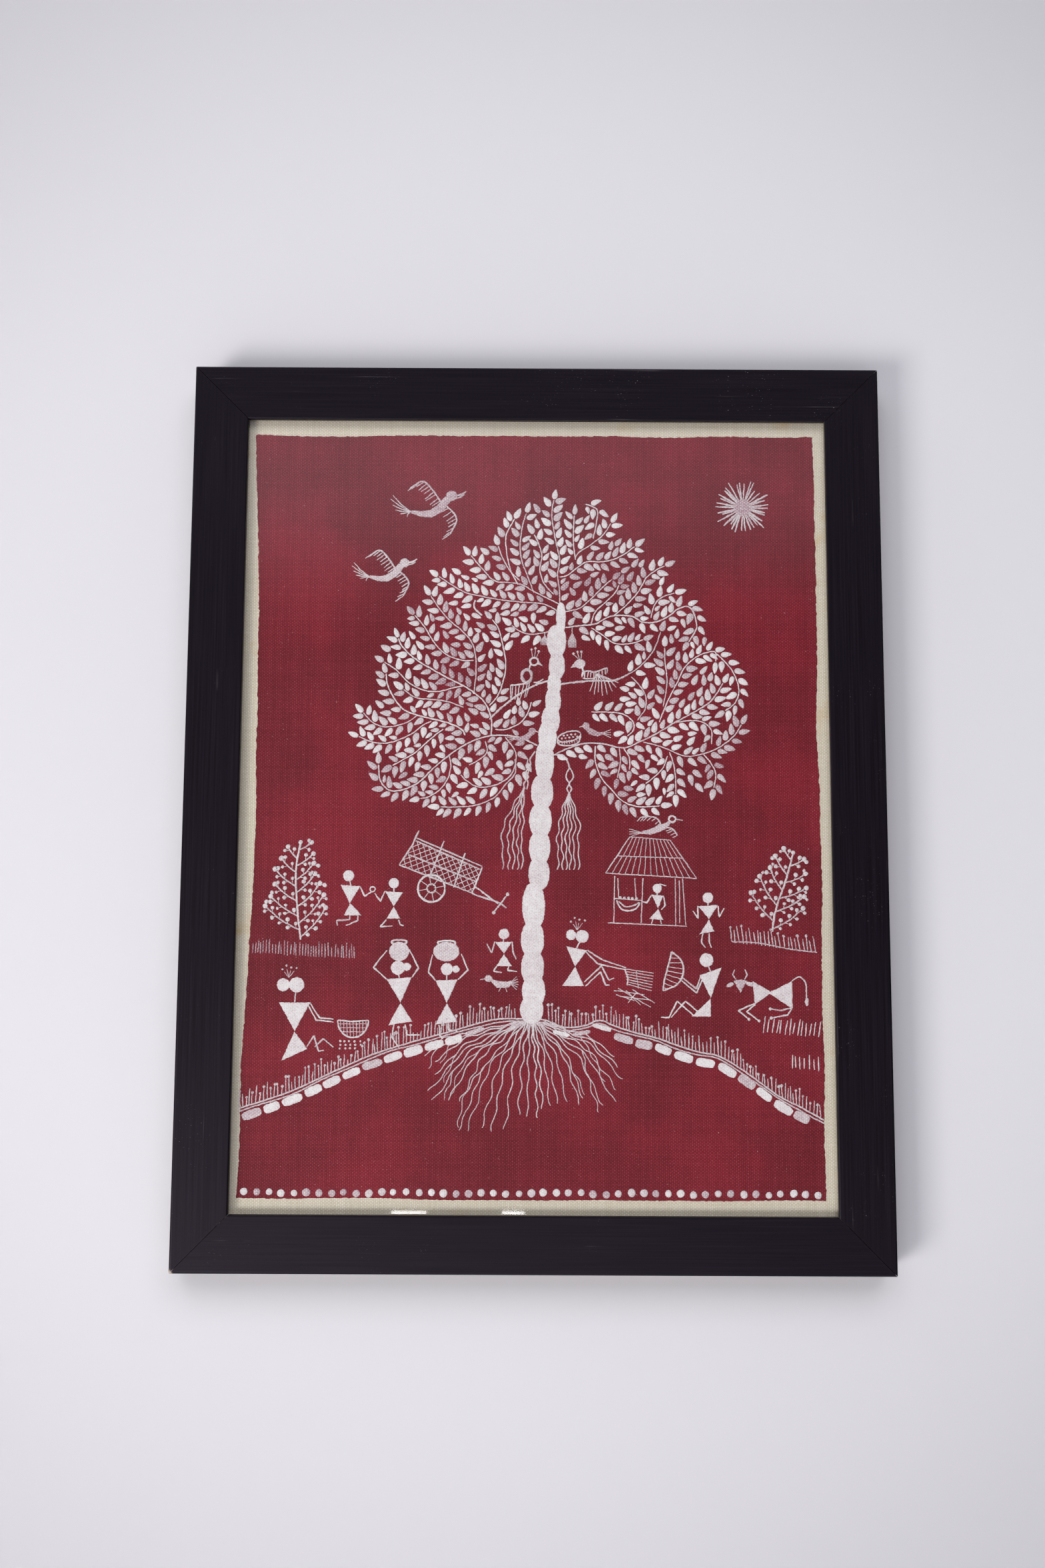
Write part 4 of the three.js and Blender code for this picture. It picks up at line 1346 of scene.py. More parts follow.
# %% [markdown]
# ## Perched birds, nest and tassels
#
# Two birds sit on the bare perches in the gap of the crown, two more further down, a nest with eggs lies on a
# branch, and tassels hang below. Each is drawn only once, so it is spelled out stroke by stroke; only combs,
# buds and hanging threads repeat.

# %% Perched birds, nest and tassels
perched = Marks("perched_birds")
perched.line(arc(-0.7, 73.6, 2.1, 2.0, step=30), 1.0, 0.2)
perched.patch([(0.9, 74.6), (4.2, 70.8), (0.6, 72.3)], 0.2)
perched.line([(-2.4, 72.2), (-3.4, 69.5)], 1.1, 0.2)
perched.line(arc(-4.4, 66.2, 2.5, 3.3, step=30), 1.5, 0.3)
perched.line([(-1, 63), (1, 62.8), (4, 64.6)], 0.8, 0.2)
comb(perched, [(-3, 62.6), (-7.5, 62), (-12.4, 61.4)], 7, 8.5, 262, 14, 0.6, 0.2)
perched.patch(disc(22.3, 72.5, 2.8, 2.5), 0.15)
perched.patch([(20.2, 73.8), (17.4, 70.4), (20.8, 70.8)], 0.2)
perched.line([(23.5, 70.5), (24, 68), (23.5, 66)], 1.2, 0.2)
comb(perched, [(23.5, 68.4), (27, 68.9), (30, 68.4), (36, 70.6)], 10, 3.4, 268, 10, 0.6, 0.25)
perched.line([(23.6, 65.2), (26, 64.8), (30, 65.2)], 0.7, 0.2)
FEATHERS = (
    (27.3, 58.5), (29.5, 57), (31.5, 58), (33.5, 56.3), (36, 57), (38.5, 58.5), (40.5, 60.5), (41.5, 63),
)
for x, z in FEATHERS:
    perched.line([(31, 67.5), (31.5 + (x - 31) * 0.6, 64.5), (x, z)], 0.6, 0.25)
CRESTS = (
    (-2, 79.6, -1.5), (0, 80.3, -0.6), (1.6, 78.7, 0.2),
    (19, 77.7, 21.4), (21, 78.6, 22), (23, 78.6, 22.8),
)
for x, z, foot in CRESTS:
    perched.line([(foot, 75.2), (x, z - 0.5)], 0.5, 0.2)
    perched.dot(x, z, 1.3)
for x, z, way in ((25.3, 41, 1), (-1.6, 38.2, -1)):
    perched.patch(disc(x, z, 1.8), 0.4)
    back = [(x, z - 0.6), (x + 2.4 * way, z - 3), (x + 6 * way, z - 4.2), (x + 9 * way, z - 3.6)]
    perched.patch(band(back, [2.2, 3.2, 2.4, 1.2]), 0.45)
    for i in range(4):
        perched.line([(x + 8 * way, z - 3.7), (x + 12.5 * way, z - 6 + 1.4 * i)], 0.55, 0.35)
    perched.line([(x - 1.5 * way, z), (x - 3.4 * way, z - 0.6)], 0.7, 0.3)
perched.make()

nest = Marks("nest_and_buds")
nest.line(arc(17, 35.6, 6, 2.5, tilt=14, step=24), 0.75, 0.25)
nest.line([(11.2, 34), (12, 31.6), (17, 31), (21.5, 32.6), (22.8, 37)], 0.7, 0.25, smooth=True)
for i in range(9):
    x = 11.9 + i * 1.25
    nest.line([(x, 33 + i * 0.2), (x + 0.3, 31.2 + i * 0.2)], 0.6, 0.3)
for i in range(9):
    nest.dot(13.3 + 1.9 * (i % 5) + (0.9 if i > 4 else 0), 34.6 + 1.5 * (i // 5) + 0.25 * (i % 5), 1.1)
for x, top, stem, bottom in ((4.6, 88.6, 86.6, 82), (18.4, 91, 88.2, 80.8)):
    nest.line([(x, top), (x, stem)], 0.7, 0.3)
    for i in range(7):
        bulge = (x - 1.9 + 0.62 * i, (stem + bottom) / 2)
        nest.line([(x, stem), bulge, (x - 1.8 + 0.6 * i, bottom)], 0.6, 0.4)
nest.make()

tassels = Marks("tassels")
twist = [(0, 28), (-2.6, 24), (-2.2, 21), (-4.4, 18), (-3.4, 15), (-5.6, 12), (-5, 9)]
tassels.line(twist, 0.75, 0.3, smooth=True)
untwist = [(-3 - (x + 3) * 0.5 - i * 0.35, z) for i, (x, z) in enumerate(twist)]
tassels.line(untwist[1:], 0.7, 0.3, smooth=True)
tassels.line([(10, 26.5), (13.5, 26), (15.6, 24), (17.2, 20)], 0.85, 0.25, smooth=True)
for side in (-1, 1):
    loop = [(17.2, 20), (17.2 + 1.9 * side, 15.5), (17, 12), (17 + 1.2 * side, 9.4), (17, 7)]
    tassels.line(loop, 0.7, 0.3, smooth=True)
LEFT_TASSEL = ((-5.3, 10), (-16, -13, -10.6, -8.4, -6.4))
RIGHT_TASSEL = ((17, 7.5), (11.4, 13.6, 15.6, 17.4, 19.4, 21.6))
for foot, tips in (LEFT_TASSEL, RIGHT_TASSEL):
    for x in tips:
        shoulder = (foot[0] + (x - foot[0]) * 0.55, 0)
        bend = [foot, shoulder, (x + 0.6, -9), (x - 0.4, -17), (x + 0.3, -24), (x, -31)]
        tassels.line(wavy(bend, 0.45, dice.uniform(7, 10)), 0.6, 0.25)
tassels.make()

# %% [markdown]
# ## People
#
# Each person is built the same way, from a disc for a head and two triangles that meet at the waist, with
# thin lines for limbs. One function draws that, so a figure is only a few points. Dots make hair ornaments.

# %% A function for one person
def person(marks, heads, chest, hips, limbs, ornament=None):
    """Heads as (x, z, radius); chest as left, right and waist; hips as the two corners below the waist."""
    for x, z, radius in heads:
        marks.patch(disc(x, z, radius), 0.05)
    left, right, waist = chest
    top = between(left, right, 0.5)
    marks.line([heads[0][:2], top], 1.0, 0.1)
    marks.patch([waist, right, left], 0.05)
    marks.patch([waist, *hips], 0.05, PATCH_PROUD - 0.01)
    for limb in limbs:
        marks.line(limb, 0.82, 0.15)
    if ornament:
        x, z = ornament
        for i in range(4):
            tip = polar((x, z), 128 - 26 * i, 5 + (i % 2))
            marks.line([(x, z), between((x, z), tip, 0.7)], 0.5, 0.3)
            marks.dot(*tip, 1.1)


def pot(marks, x, z, wide, high, rim_z, rim):
    """A round pot carried on the head, with its rim at rim_z."""
    marks.patch(disc(x, z, wide, high), 0.16)
    marks.line(arc(x, rim_z - 0.9, rim, 1.1, step=24), 0.85, 0.1)


people = Marks("villagers")
person(people, [(-92, -34.5, 2.8)], [(-95.5, -39), (-86, -39.5), (-91, -48)], [(-94, -54), (-85, -54)], [
    [(-87, -54), (-87, -56.5), (-93, -59)], [(-91, -54), (-91, -56), (-97.5, -56.5), (-97, -59)],
    [(-95.5, -39), (-91, -48)], [(-86, -40), (-84, -44.5), (-80, -42)],
])
people.line(arc(-80, -41, 1.3, 1.3, step=45), 0.7, 0.2)
person(people, [(-69.5, -38, 2.6)], [(-74, -42), (-65, -42.5), (-69.5, -49.5)],
       [(-73, -55.5), (-66, -55.5)], [
    [(-73, -56), (-76, -59.5), (-70, -59)], [(-67, -56), (-66, -58.5), (-64.5, -59)],
    [(-74, -42), (-76, -47), (-79, -43)],
])
person(people, [(-67, -79.5, 3.5), (-62.5, -79, 2)], [(-72.5, -85), (-60, -84), (-65.5, -96.5)],
       [(-71.5, -107.5), (-59.5, -105.5)], [
    [(-72.5, -85), (-79, -79.3), (-72.5, -71)], [(-60, -84), (-56.8, -79.5), (-61.5, -70.5)],
    [(-68.5, -107), (-69.5, -113), (-66, -118)], [(-63, -107), (-62, -112), (-56, -112)],
])
pot(people, -66.5, -71.5, 5, 4.8, -66, 4)
person(people, [(-43, -80, 3), (-38.5, -80, 1.8)], [(-48.5, -85.5), (-37.5, -85), (-42.8, -96.5)],
       [(-48.5, -107), (-37.5, -105.5)], [
    [(-48.5, -85.5), (-52, -81.5), (-50, -73)], [(-37.5, -85), (-32.5, -80.5), (-36, -72.5)],
    [(-46.5, -107), (-46, -112), (-44.5, -114)], [(-42, -106), (-42, -109.5), (-37.5, -110)],
])
pot(people, -43.3, -71.5, 6.5, 4.8, -66.3, 4.6)
person(people, [(-15, -62.7, 2.6)], [(-19.5, -66.5), (-11, -66.5), (-15, -72.5)],
       [(-18.8, -78.5), (-11, -78.5)], [
    [(-19.5, -66.5), (-21, -72), (-23.5, -67.5)], [(-11, -66.5), (-10.5, -71.5), (-9, -75)],
    [(-18.5, -78.5), (-20, -81), (-16, -81.5)], [(-12.5, -78.5), (-13, -80.5), (-8.5, -81)],
])
person(people, [(-116.5, -88, 3.8), (-123, -88, 3.2)], [(-125, -96.5), (-109.5, -96.5), (-117, -110.5)],
       [(-123.5, -125), (-110.5, -119)], [
    [(-109.5, -97), (-105, -104), (-98, -104.5)], [(-110.5, -98), (-106.5, -105), (-98, -106)],
    [(-111, -118), (-107.5, -112.5), (-105, -120), (-102.5, -119.5)],
    [(-107, -118), (-103, -114), (-98, -118)],
], (-120.5, -84.5))
person(people, [(60.5, -40, 2.3)], [(57.5, -43), (63.5, -43.5), (61, -50)], [(56.5, -55), (63.5, -55.5)], [
    [(57.5, -43.5), (55.5, -47), (53, -46.5)], [(58.5, -55), (57.5, -57.5)], [(62, -55), (62.5, -57.5)],
    [(63.5, -43.5), (64.5, -48), (62.5, -50.5)], [(61.5, -37.8), (65, -38.6)],
])
person(people, [(85.5, -44.5, 2.7)], [(80.5, -48.5), (90.5, -48), (86, -55)], [(81, -62.5), (88.5, -61)], [
    [(80.5, -48.5), (80.5, -54.5), (78, -51)], [(90.5, -48.5), (91, -54), (93.5, -49.5)],
    [(83, -62), (82, -66), (84, -69)], [(86, -62), (86, -66), (87, -69)],
])
person(people, [(23.5, -63.7, 3.2), (18, -63, 2.6)], [(15.5, -68.5), (26, -70.5), (20, -78.5)],
       [(13.5, -88), (24.5, -88)], [
    [(26, -70.5), (33, -75), (45, -79)], [(25, -71), (31, -77), (45, -80)],
    [(24.5, -86), (33, -78), (36.5, -85), (39, -84)], [(25, -88), (32.5, -81), (35, -87.5), (37, -87.5)],
], (21, -60.5))
person(people, [(84.5, -75, 3.4)], [(81, -82.5), (92, -78.5), (86.5, -93.5)],
       [(77, -102.5), (86.5, -102.5)], [
    [(82, -82), (79.5, -89), (72, -83)], [(83, -83.5), (79.5, -91), (71, -84)],
    [(78, -102), (70, -95), (66, -103), (62, -103)], [(80, -100), (74, -95), (67, -103)],
])
people.make()

# %% [markdown]
# ## The cart and the tools
#
# The cart, the basket, the sheaf and the fan are made of straight strokes. What repeats in them is a row of
# rungs between two rails: upright ones make a rake or a fan, and two slanting sets make the cart's lattice.
# So one function draws rungs, and the rest is a handful of lines.

# %% Cart, basket, sheaf and fan
def rungs(marks, first, second, count, width=0.6, thin=0.25, shift=0.0):
    """Strokes that join two rails; shift slants them by that share of the rails' length."""
    for i in range(count):
        start = min(0.0, -shift) + (1 + abs(shift)) * i / (count - 1)
        ends = [0.0, 1.0]
        if shift:
            ends = sorted(min(1.0, max(0.0, (limit - start) / shift)) for limit in (0.0, 1.0))
        if ends[1] - ends[0] < 0.08 and shift:
            continue
        marks.line([
            between(between(*first, start + shift * s), between(*second, start + shift * s), s) for s in ends
        ], width, thin)


tools = Marks("cart_and_tools")
top_rail, low_rail = ((-59, -17), (-27, -31)), ((-67, -29), (-30, -43))
CART_BARS = (
    top_rail, low_rail, ((-59, -15.5), (-26, -29.5)), ((-60, -18), (-67, -29)), ((-26, -30), (-31, -43)),
    ((-57.5, -12), (-61.5, -21)), ((-45, -17), (-52, -35)), ((-34.5, -23), (-40, -40)),
    ((-62, -24), (-29, -37)), ((-30, -39), (-18, -48)), ((-31, -43), (-17, -47.5)),
    ((-20, -52), (-13.5, -43.5)), ((-17, -47.5), (-14, -50)),
)
for a, b in CART_BARS:
    tools.line([a, between(a, b, 0.5), b], 0.9, 0.2)
rungs(tools, top_rail, low_rail, 16, 0.55, shift=0.34)
rungs(tools, top_rail, low_rail, 16, 0.55, shift=-0.34)
HUB = (-51, -40.5)
tools.line(arc(*HUB, 6.7, 6.7), 1.0, 0.15)
tools.line(arc(*HUB, 2.2, 2.2, step=30), 0.7, 0.2)
for i in range(8):
    tools.line([polar(HUB, 45 * i + 10, 1.5), polar(HUB, 45 * i + 10, 6.6)], 0.6, 0.3)
tools.dot(-20.2, -52.3, 2)
tools.dot(-13.3, -43.2, 2)

tools.line([(-96, -105), (-88.5, -105.6), (-81, -105)], 0.8, 0.2)
tools.line(arc(-88.5, -105, 7.6, 8.4, 180, 360), 0.8, 0.2)
for i in range(9):
    x = -94.7 + 1.55 * i
    deep = 8 * math.sqrt(max(0, 1 - ((x + 88.5) / 7.6) ** 2))
    tools.line([(x, -105.4), (x + 0.3, -105 - deep)], 0.5, 0.3)
for z in (-106.8, -108.7, -110.6):
    reach = 7.4 * math.sqrt(1 - ((z + 105) / 8.4) ** 2)
    tools.line([(-88.5 - reach, z), (-88.5 + reach, z)], 0.5, 0.3)
for i in range(14):
    tools.dot(-95 + 2.6 * (i % 5) + dice.uniform(-0.5, 0.5), -115.2 - 1.7 * (i // 5), 1.2)

rungs(tools, ((44.5, -79.5), (45.5, -87)), ((58.5, -81.5), (57.5, -90)), 7, 0.65, 0.3)
tools.line([(44.5, -79.5), (46, -84), (45.5, -87.5)], 0.9, 0.2)
tools.line([(50, -80.5), (51, -89)], 0.6, 0.3)
SHEAF = (
    ((39, -90), (54, -92)), ((41, -89), (57, -98)), ((45, -90), (52, -97)), ((43, -93), (57, -94.5)),
    ((48, -89.5), (59, -96)), ((40, -92), (49, -95)), ((50, -91), (46, -96)),
)
for a, b in SHEAF:
    tools.line([a, b], 0.65, 0.25)
fan_left = smooth_path([(67.5, -71), (66, -77), (64, -84), (63, -90)])
fan_right = smooth_path([(67.5, -71), (72, -75), (73.2, -81), (70, -87), (63, -90)])
tools.line(fan_left, 0.8, 0.2)
tools.line(fan_right, 0.8, 0.2)
for i in range(1, 10):
    t = i / 10
    tools.line([fan_left[int(t * (len(fan_left) - 1))], fan_right[int(t * (len(fan_right) - 1))]], 0.6, 0.3)
tools.make()

# %% [markdown]
# ## The hut
#
# The hut is a few posts and beams under a thatched roof, with a cradle hung inside and a bird on the ridge.
# Thatch is two rows of short strokes, and those are rungs once more, between the ridge, a rope and the eaves.

# %% Hut, its cradle and the bird on its roof
ridge, rope, eaves = ((47, -14.5), (67, -16)), ((41, -24), (73.5, -25)), ((35, -32.5), (80, -35))
HUT_BARS = (
    ridge, [(47, -14.5), (35, -32.5)], [(67, -16), (80, -35)], eaves,
    rope, [(39.5, -34), (39, -57)], [(53.5, -35), (52.5, -57)], [(69.5, -35), (69.5, -58)],
    [(73, -35), (74.5, -58)], [(36, -57), (75, -58.5)], [(39.5, -45), (53, -46)], [(71.5, -36), (71.5, -57)],
    [(49.5, -35), (50, -45)], [(41, -35), (41.5, -45)],
)
hut = Marks("hut")
for path in HUT_BARS:
    hut.line(path, 0.75, 0.3)
rungs(hut, ridge, rope, 13, 0.6, 0.4)
rungs(hut, rope, eaves, 15, 0.6, 0.4)
hut.line([(40.5, -46), (42.5, -50), (46, -51), (50, -50), (52, -47)], 0.8, 0.2, smooth=True)
hut.line([(41.5, -46.5), (44, -48.6), (46.5, -49), (50, -48), (51.5, -46.8)], 0.7, 0.2, smooth=True)
for i in range(5):
    hut.dot(42.3 + 2 * i, -44.6 - 0.1 * i, 1.5)
bird_back = [(52, -12.5), (57, -12), (62, -10.4), (65.5, -8.2), (67.6, -6.6)]
hut.patch(band(bird_back, [1, 2.8, 3.2, 2.2, 1.4]), 0.25)
hut.line(arc(68.2, -5.6, 1.8, 1.6, step=30), 1.0, 0.2)
hut.line([(70, -5.6), (73.4, -6.2)], 0.8, 0.2)
comb(hut, [(63, -9.4), (61, -5.6), (57.5, -4.4), (52.5, -4.8)], 8, 3.2, 222, 10, 0.55, 0.35)
comb(hut, [(65, -9.4), (68.4, -10.6), (70.6, -13.4)], 6, 3.2, 205, 10, 0.55, 0.35)
for i in range(4):
    hut.line([(53, -12.4), (46.8, -10.6 - 1.3 * i)], 0.6, 0.35)
hut.make()

# %% [markdown]
# ## The animals
#
# The bull is built like a person, from two triangles that meet in the middle, and the small bird is a disc
# and a tapered strip. They are drawn once each, so plain strokes and patches are enough.

# %% Bull and small bird
animals = Marks("bull_and_bird")
animals.patch([(101, -91), (97.6, -85), (101, -84.2), (104.4, -85)], 0.3)
animals.patch(disc(96, -87, 2, 1, 25), 0.2)
animals.patch(disc(105.6, -86.6, 2, 1, -25), 0.2)
animals.line([(99, -84.4), (97.2, -82), (98.4, -79.6)], 0.7, 0.3)
animals.line([(103, -84.4), (104.6, -82), (103.2, -79.6)], 0.7, 0.3)
animals.patch([(107, -85), (108, -96.5), (116.5, -90.6)], 0.1)
animals.patch([(126.5, -85), (126.5, -98.5), (114.5, -90.8)], 0.1, PATCH_PROUD - 0.02)
animals.line([(104, -86.5), (107.4, -86)], 1.2, 0.2)
animals.line([(126.5, -85), (130, -83), (133, -86), (133.5, -93)], 0.7, 0.2, smooth=True)
animals.patch(disc(133.5, -95, 1, 2.2), 0.2)
BULL_LEGS = (
    [(108, -96), (100, -99.5), (105, -103.6)], [(108.3, -96.5), (104, -100), (110, -104.4)],
    [(126, -98), (121, -99.4), (115.5, -98.5)], [(126, -98.5), (124, -101.5), (116, -103)],
)
for leg in BULL_LEGS:
    animals.line(leg, 0.9, 0.2)
    animals.dot(*leg[-1], 1.6)
animals.patch(disc(-22.5, -84.5, 1.9, 1.7), 0.2)
animals.line([(-24, -84.6), (-26.6, -85.2)], 0.7, 0.3)
animals.patch(band([(-21, -85.4), (-18, -87.4), (-13, -87.4), (-11, -86)], [1.4, 3.6, 3, 1.4]), 0.2)
for i in range(6):
    animals.line([(-12, -86.6), (-7.6 - abs(i - 2.5) * 0.4, -83.6 - 1.25 * i)], 0.6, 0.3)
animals.line([(-16.5, -89), (-17.5, -91)], 0.6, 0.3)
animals.line([(-14, -89), (-13.4, -91)], 0.6, 0.3)
animals.make()

# %% [markdown]
# ## The berry shrubs
#
# A shrub is a stem with twigs to either side, shorter towards the top, and every twig and spur ends in a
# berry. That is one rule used twice, so a function grows a shrub from its stem.

# %% Berry shrubs
def shrub(marks, spine, twigs, reach, size=2.3):
    """A stem along the spine, with this many twigs; the lowest are as long as reach."""
    path = smooth_path(spine, 1.0)
    marks.line(path, 0.95, 0.25)
    for i in range(twigs):
        t = 0.06 + 0.84 * i / (twigs - 1)
        k = min(len(path) - 2, int(t * (len(path) - 1)))
        up = math.degrees(heading(path[k], path[k + 1]))
        side = 1 if i % 2 else -1
        long = reach * (1.0 - 0.72 * t) * dice.uniform(0.9, 1.1)
        elbow = polar(path[k], up + side * 54, long * 0.5)
        tip = polar(elbow, up + side * 42, long * 0.5)
        twig = smooth_path([path[k], elbow, tip], 0.7)
        marks.line(twig, 0.7, 0.3)
        marks.dot(*tip, size * 1.15, 0.1)
        for j in range(4, len(twig) - 2, 3):
            out = polar(twig[j], up + side * 48 + (52 if j % 2 else -52), dice.uniform(2.0, 2.9))
            marks.line([twig[j], out], 0.5, 0.3)
            marks.dot(*out, size * dice.uniform(0.7, 1.05), 0.1)
    marks.dot(*path[-1], size, 0.1)


shrubs = Marks("berry_shrubs")
shrub(shrubs, [(-115, -66), (-117, -50), (-118, -32), (-116, -18)], 13, 21)
shrub(shrubs, [(117, -61), (119, -50), (124, -36), (128, -22)], 10, 21)
shrubs.make()

# %% [markdown]
# ## The frame's finishes
#
# The rails are satin black paint on wood. Fine lines run along each rail, so the top and bottom rails take
# one finish and the side rails the other. Their backs are bare wood with some black at the outer edge. An
# image of wood could be wrapped on, but noise stretched along the rail never repeats. A few scratches, specks
# of dust and three rubbed outer corners show that the frame has been handled.

# %% Black rails
outer_low, outer_high = (Vector(corner) for corner in CAD_BOX)
RUBBED_EDGE = 1.6
RUBBED = [
    (Vector((outer_low.x, FRONT_Y, outer_low.z)), 3.2, 0.8),
    (Vector((outer_high.x, FRONT_Y, outer_low.z)), 2.2, 0.5),
    (Vector((outer_low.x, FRONT_Y, outer_high.z)), 1.4, 0.3),
]


def rail_finish(name, along):
    """Black paint with its lines along the X or the Z axis, and bare wood on faces that look backwards."""
    finish, tree, surface = new_finish(name, Specular_IOR_Level=0.17, Specular_Tint=(0.95, 0.82, 1.0, 1.0))
    fine = stretched(tree, tuple(14 if axis == along else 1500 for axis in "XYZ"))
    coarse = stretched(tree, tuple(9 if axis == along else 800 for axis in "XYZ"))
    place = stretched(tree)
    lines = speckle(tree, fine, 1.0, 3.0, 0.6)
    paint = mix(tree, ramp(tree, lines, 0.35, 0.7), (0.0028, 0.0019, 0.0032, 1), (0.0062, 0.0043, 0.007, 1))
    scratch = ramp(tree, speckle(tree, coarse, 1.0, 2.0), 0.69, 0.74)
    patchy = ramp(tree, speckle(tree, place, 28.0, 3.0), 0.52, 0.66)
    scratched = times(tree, scratch, patchy, 0.3)
    marked = mix(tree, scratched, paint, (0.075, 0.07, 0.075, 1))
    dust = ramp(tree, speckle(tree, place, 1900.0, 1.0), 0.74, 0.8)
    dusted = times(tree, dust, patchy, 0.7)
    worn = mix(tree, dusted, marked, (0.3, 0.29, 0.3, 1))
    crumbly = speckle(tree, place, 420.0, 4.0, 0.7)
    for corner, reach, most in RUBBED:
        ragged = maths(tree, "MULTIPLY_ADD", crumbly, 5 * MM, distance(tree, place, corner))
        near = ramp(tree, ragged, reach * MM, (reach + RUBBED_EDGE) * MM, most, 0.0)
        worn = mix(tree, near, worn, (0.5, 0.4, 0.3, 1))
    grain = ramp(tree, speckle(tree, coarse, 1.6, 4.0, 0.6), 0.3, 0.7)
    wood = mix(tree, grain, (0.38, 0.25, 0.13, 1), (0.58, 0.43, 0.26, 1))
    axes = axes_of(tree, place)
    side = maths(tree, "ABSOLUTE", maths(tree, "SUBTRACT", axes["X"], MIDDLE.x))
    tall = maths(tree, "ABSOLUTE", maths(tree, "SUBTRACT", axes["Z"], MIDDLE.z))
    from_side = maths(tree, "SUBTRACT", outer_high.x - MIDDLE.x, side)
    from_end = maths(tree, "SUBTRACT", HEIGHT / 2, tall)
    edge = maths(tree, "MINIMUM", from_side, from_end)
    spray = ramp(tree, maths(tree, "MULTIPLY_ADD", crumbly, 3 * MM, edge), 2 * MM, 5 * MM, 0.95, 0.0)
    bare = mix(tree, spray, wood, (0.012, 0.011, 0.013, 1))
    facing = axes_of(tree, node(tree, "ShaderNodeTexCoord").outputs["Normal"])
    back = ramp(tree, facing["Y"], 0.5, 0.6)
    tree.links.new(mix(tree, back, worn, bare), surface.inputs["Base Color"])
    satin = ramp(tree, lines, 0.3, 0.7, 0.38, 0.43)
    rough = maths(tree, "MAXIMUM", satin, times(tree, back, 0.75))
    tree.links.new(rough, surface.inputs["Roughness"])
    raise_bump(tree, surface, lines, 0.01 * MM)
    return finish


BLACK_ACROSS, BLACK_UP = rail_finish("black rail across", "X"), rail_finish("black rail upright", "Z")
print("each rail finish has", len(BLACK_UP.node_tree.nodes), "nodes")

# %% [markdown]
# ## Glass
#
# The pane is clear. It is a mix of see-through and mirror by Fresnel's law, with a trace of pale dust, and
# smudges that blur its reflections a little. Its front face mirrors for both faces, and its back face lets
# everything through, because light isn't bent here and would seem trapped inside at a slant. The soft milky
# look comes from the room it reflects.

# %% Glass pane
FACES_OF_GLASS = 1.95


def glass_finish():
    finish, tree, surface = new_finish("clear glass")
    tree.nodes.remove(surface)
    place = stretched(tree)
    smudge = ramp(tree, speckle(tree, place, 14.0, 4.0, 0.6), 0.4, 0.8, 0.018, 0.04)
    dust = ramp(tree, speckle(tree, place, 700.0, 3.0, 0.7), 0.55, 0.8, 0.0003, 0.004)
    clear = node(tree, "ShaderNodeBsdfTransparent", {"Color": (0.985, 0.99, 0.985, 1)}).outputs[0]
    shine = node(tree, "ShaderNodeBsdfGlossy", {"Roughness": smudge}).outputs[0]
    powder = node(tree, "ShaderNodeBsdfDiffuse", {"Color": (0.8, 0.79, 0.8, 1)}).outputs[0]
    fresnel = node(tree, "ShaderNodeFresnel", {"IOR": 1.45}).outputs[0]
    inside = node(tree, "ShaderNodeNewGeometry").outputs["Backfacing"]
    front = maths(tree, "SUBTRACT", 1.0, inside)
    both_faces = maths(tree, "MULTIPLY", times(tree, fresnel, FACES_OF_GLASS), front, clamp=True)
    pane = node(tree, "ShaderNodeMixShader", {0: both_faces, 1: clear, 2: shine}).outputs[0]
    dusted = node(tree, "ShaderNodeMixShader", {0: dust, 1: pane, 2: powder}).outputs[0]
    tree.links.new(dusted, tree.nodes["Material Output"].inputs["Surface"])
    return finish


GLASS = glass_finish()
print("glass has", len(GLASS.node_tree.nodes), "nodes")

# %% [markdown]
# ## Boards and metal
#
# The back is what a framer uses: a white card behind the cloth, corrugated filler, a hardboard back held by
# zinc-plated turn buttons, and steel screws, rings and nails. Boards differ only in colour and in the way
# their fibres run, and metals in colour, polish and spangle, so one function makes each kind.

# %% Boards, metal and rubber
def board_finish(name, dark, pale, fibre, scale, flutes=0.0):
    finish, tree, surface = new_finish(name, Roughness=0.85, Specular_IOR_Level=0.25)
    place = stretched(tree)
    strands = speckle(tree, stretched(tree, fibre), scale, 4.0, 0.65)
    blotch = ramp(tree, speckle(tree, place, 12.0, 4.0), 0.3, 0.7)
    fleck = ramp(tree, speckle(tree, place, 1400.0, 2.0), 0.66, 0.8)
    tint = mix(tree, ramp(tree, strands, 0.3, 0.7), (*dark, 1), (*pale, 1))
    aged = mix(tree, times(tree, blotch, 0.25), tint, (*(c * 0.72 for c in dark), 1))
    flecked = mix(tree, times(tree, fleck, 0.4), aged, (*(min(1, c * 1.3) for c in pale), 1))
    height = strands
    if flutes:
        wave = maths(tree, "SINE", times(tree, axes_of(tree, place)["X"], 2 * math.pi / flutes))
        height = maths(tree, "MULTIPLY_ADD", wave, 1.5, strands)
        # Painted shade: the colour darkens in the troughs of the flutes.
        flecked = mix(tree, ramp(tree, wave, -1.0, 1.0, 0.16, 0.0), flecked, (*dark, 1))
    tree.links.new(flecked, surface.inputs["Base Color"])
    raise_bump(tree, surface, height, 0.05 * MM)
    return finish


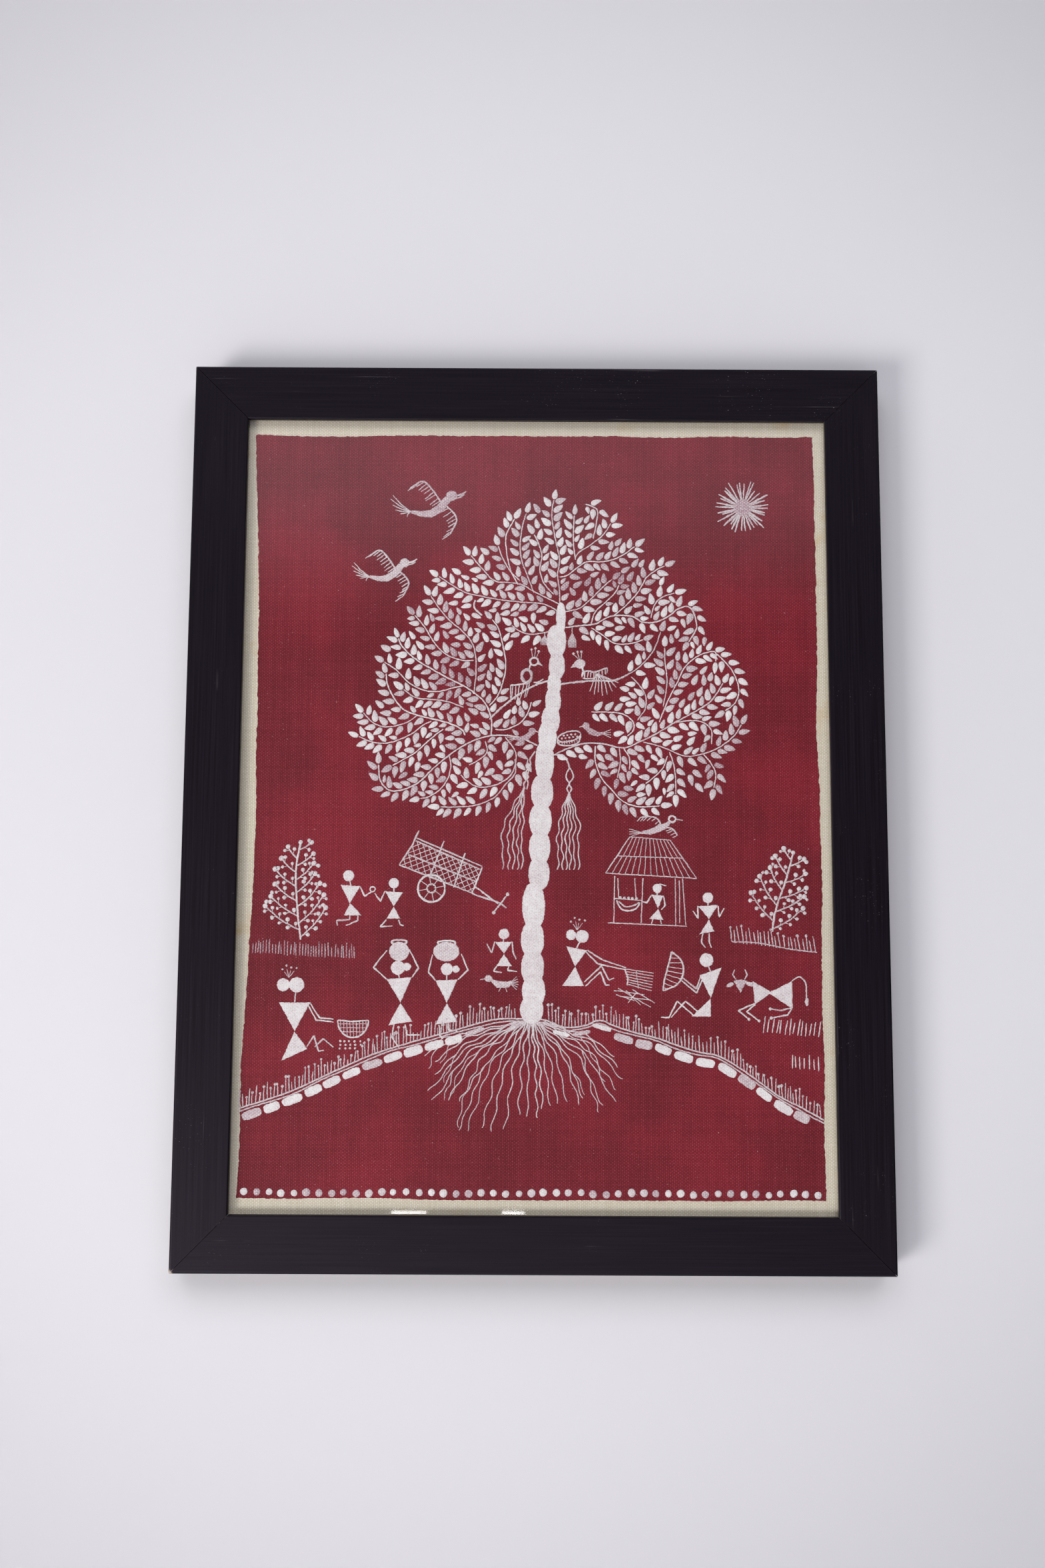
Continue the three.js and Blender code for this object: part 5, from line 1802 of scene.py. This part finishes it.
def metal_finish(name, dark, pale, rough, spangle, stain=0.2):
    finish, tree, surface = new_finish(name, Metallic=1.0)
    place = stretched(tree)
    flakes = node(tree, "ShaderNodeTexVoronoi", {"Vector": place, "Scale": spangle}, feature="F1")
    shade = node(tree, "ShaderNodeSeparateColor", {0: flakes.outputs["Color"]}).outputs[0]
    brushed = speckle(tree, place, 1600.0, 4.0, 0.6)
    both = maths(tree, "MULTIPLY_ADD", brushed, 0.5, times(tree, shade, 0.5))
    tint = mix(tree, both, (*dark, 1), (*pale, 1))
    tarnish = ramp(tree, speckle(tree, place, 150.0, 5.0, 0.7), 0.55, 0.8, 0.0, stain)
    tree.links.new(mix(tree, tarnish, tint, (0.2, 0.15, 0.1, 1)), surface.inputs["Base Color"])
    tree.links.new(maths(tree, "MULTIPLY_ADD", both, 0.22, rough), surface.inputs["Roughness"])
    raise_bump(tree, surface, brushed, 0.01 * MM)
    return finish


def rubber_finish():
    finish, tree, surface = new_finish("grey rubber", Specular_IOR_Level=0.35)
    pores = speckle(tree, stretched(tree), 1500.0, 3.0)
    tint = mix(tree, pores, (0.05, 0.05, 0.055, 1), (0.11, 0.11, 0.115, 1))
    tree.links.new(tint, surface.inputs["Base Color"])
    tree.links.new(ramp(tree, pores, 0.3, 0.7, 0.5, 0.72), surface.inputs["Roughness"])
    raise_bump(tree, surface, pores, 0.02 * MM)
    return finish


ZINC = metal_finish("zinc plate", (0.42, 0.43, 0.45), (0.72, 0.73, 0.75), 0.28, 420.0)
STEEL = metal_finish("bright steel", (0.38, 0.37, 0.36), (0.66, 0.65, 0.63), 0.24, 2400.0, 0.35)
NAIL = metal_finish("dark nail steel", (0.14, 0.13, 0.13), (0.3, 0.29, 0.28), 0.34, 1800.0, 0.5)
CARD = board_finish("white card", (0.7, 0.69, 0.66), (0.82, 0.81, 0.78), (1, 1, 1), 800.0)
FLUTES = 6.5 * MM
KRAFT = board_finish("corrugated kraft", (0.36, 0.24, 0.13), (0.5, 0.36, 0.21), (1, 1, 0.08), 900.0, FLUTES)
HARDBOARD = board_finish("hardboard", (0.2, 0.11, 0.055), (0.36, 0.22, 0.12), (1, 1, 1), 650.0)
FINISHES = {
    "rail_top": BLACK_ACROSS, "rail_bottom": BLACK_ACROSS, "rail_": BLACK_UP, "glass_pane": GLASS,
    "mount_board": CARD, "filler_board": KRAFT, "backing_board": HARDBOARD,
    "turn_button_screw": STEEL, "turn_button": ZINC, "corner_nail": NAIL, "hanger_strap": ZINC,
    "hanger_": STEEL, "wall_bumper": rubber_finish(),
}
print("finishes by the start of a name:", {start: finish.name for start, finish in FINISHES.items()})

# %% [markdown]
# ## Dress the fixed frame
#
# The fixed pieces keep the shapes they came with. Each takes the first finish whose key starts its name,
# which is shorter than a list of all of them. Nothing is moved or reshaped.

# %% Put a finish on every fixed piece
dressed = {}
for name, piece in NODES.items():
    prefix = next((start for start in FINISHES if name.startswith(start)), None)
    if prefix is None or piece.type != "MESH":
        continue
    piece.data.materials.clear()
    piece.data.materials.append(FINISHES[prefix])
    dressed[prefix] = dressed.get(prefix, 0) + 1
print("dressed:", dressed)
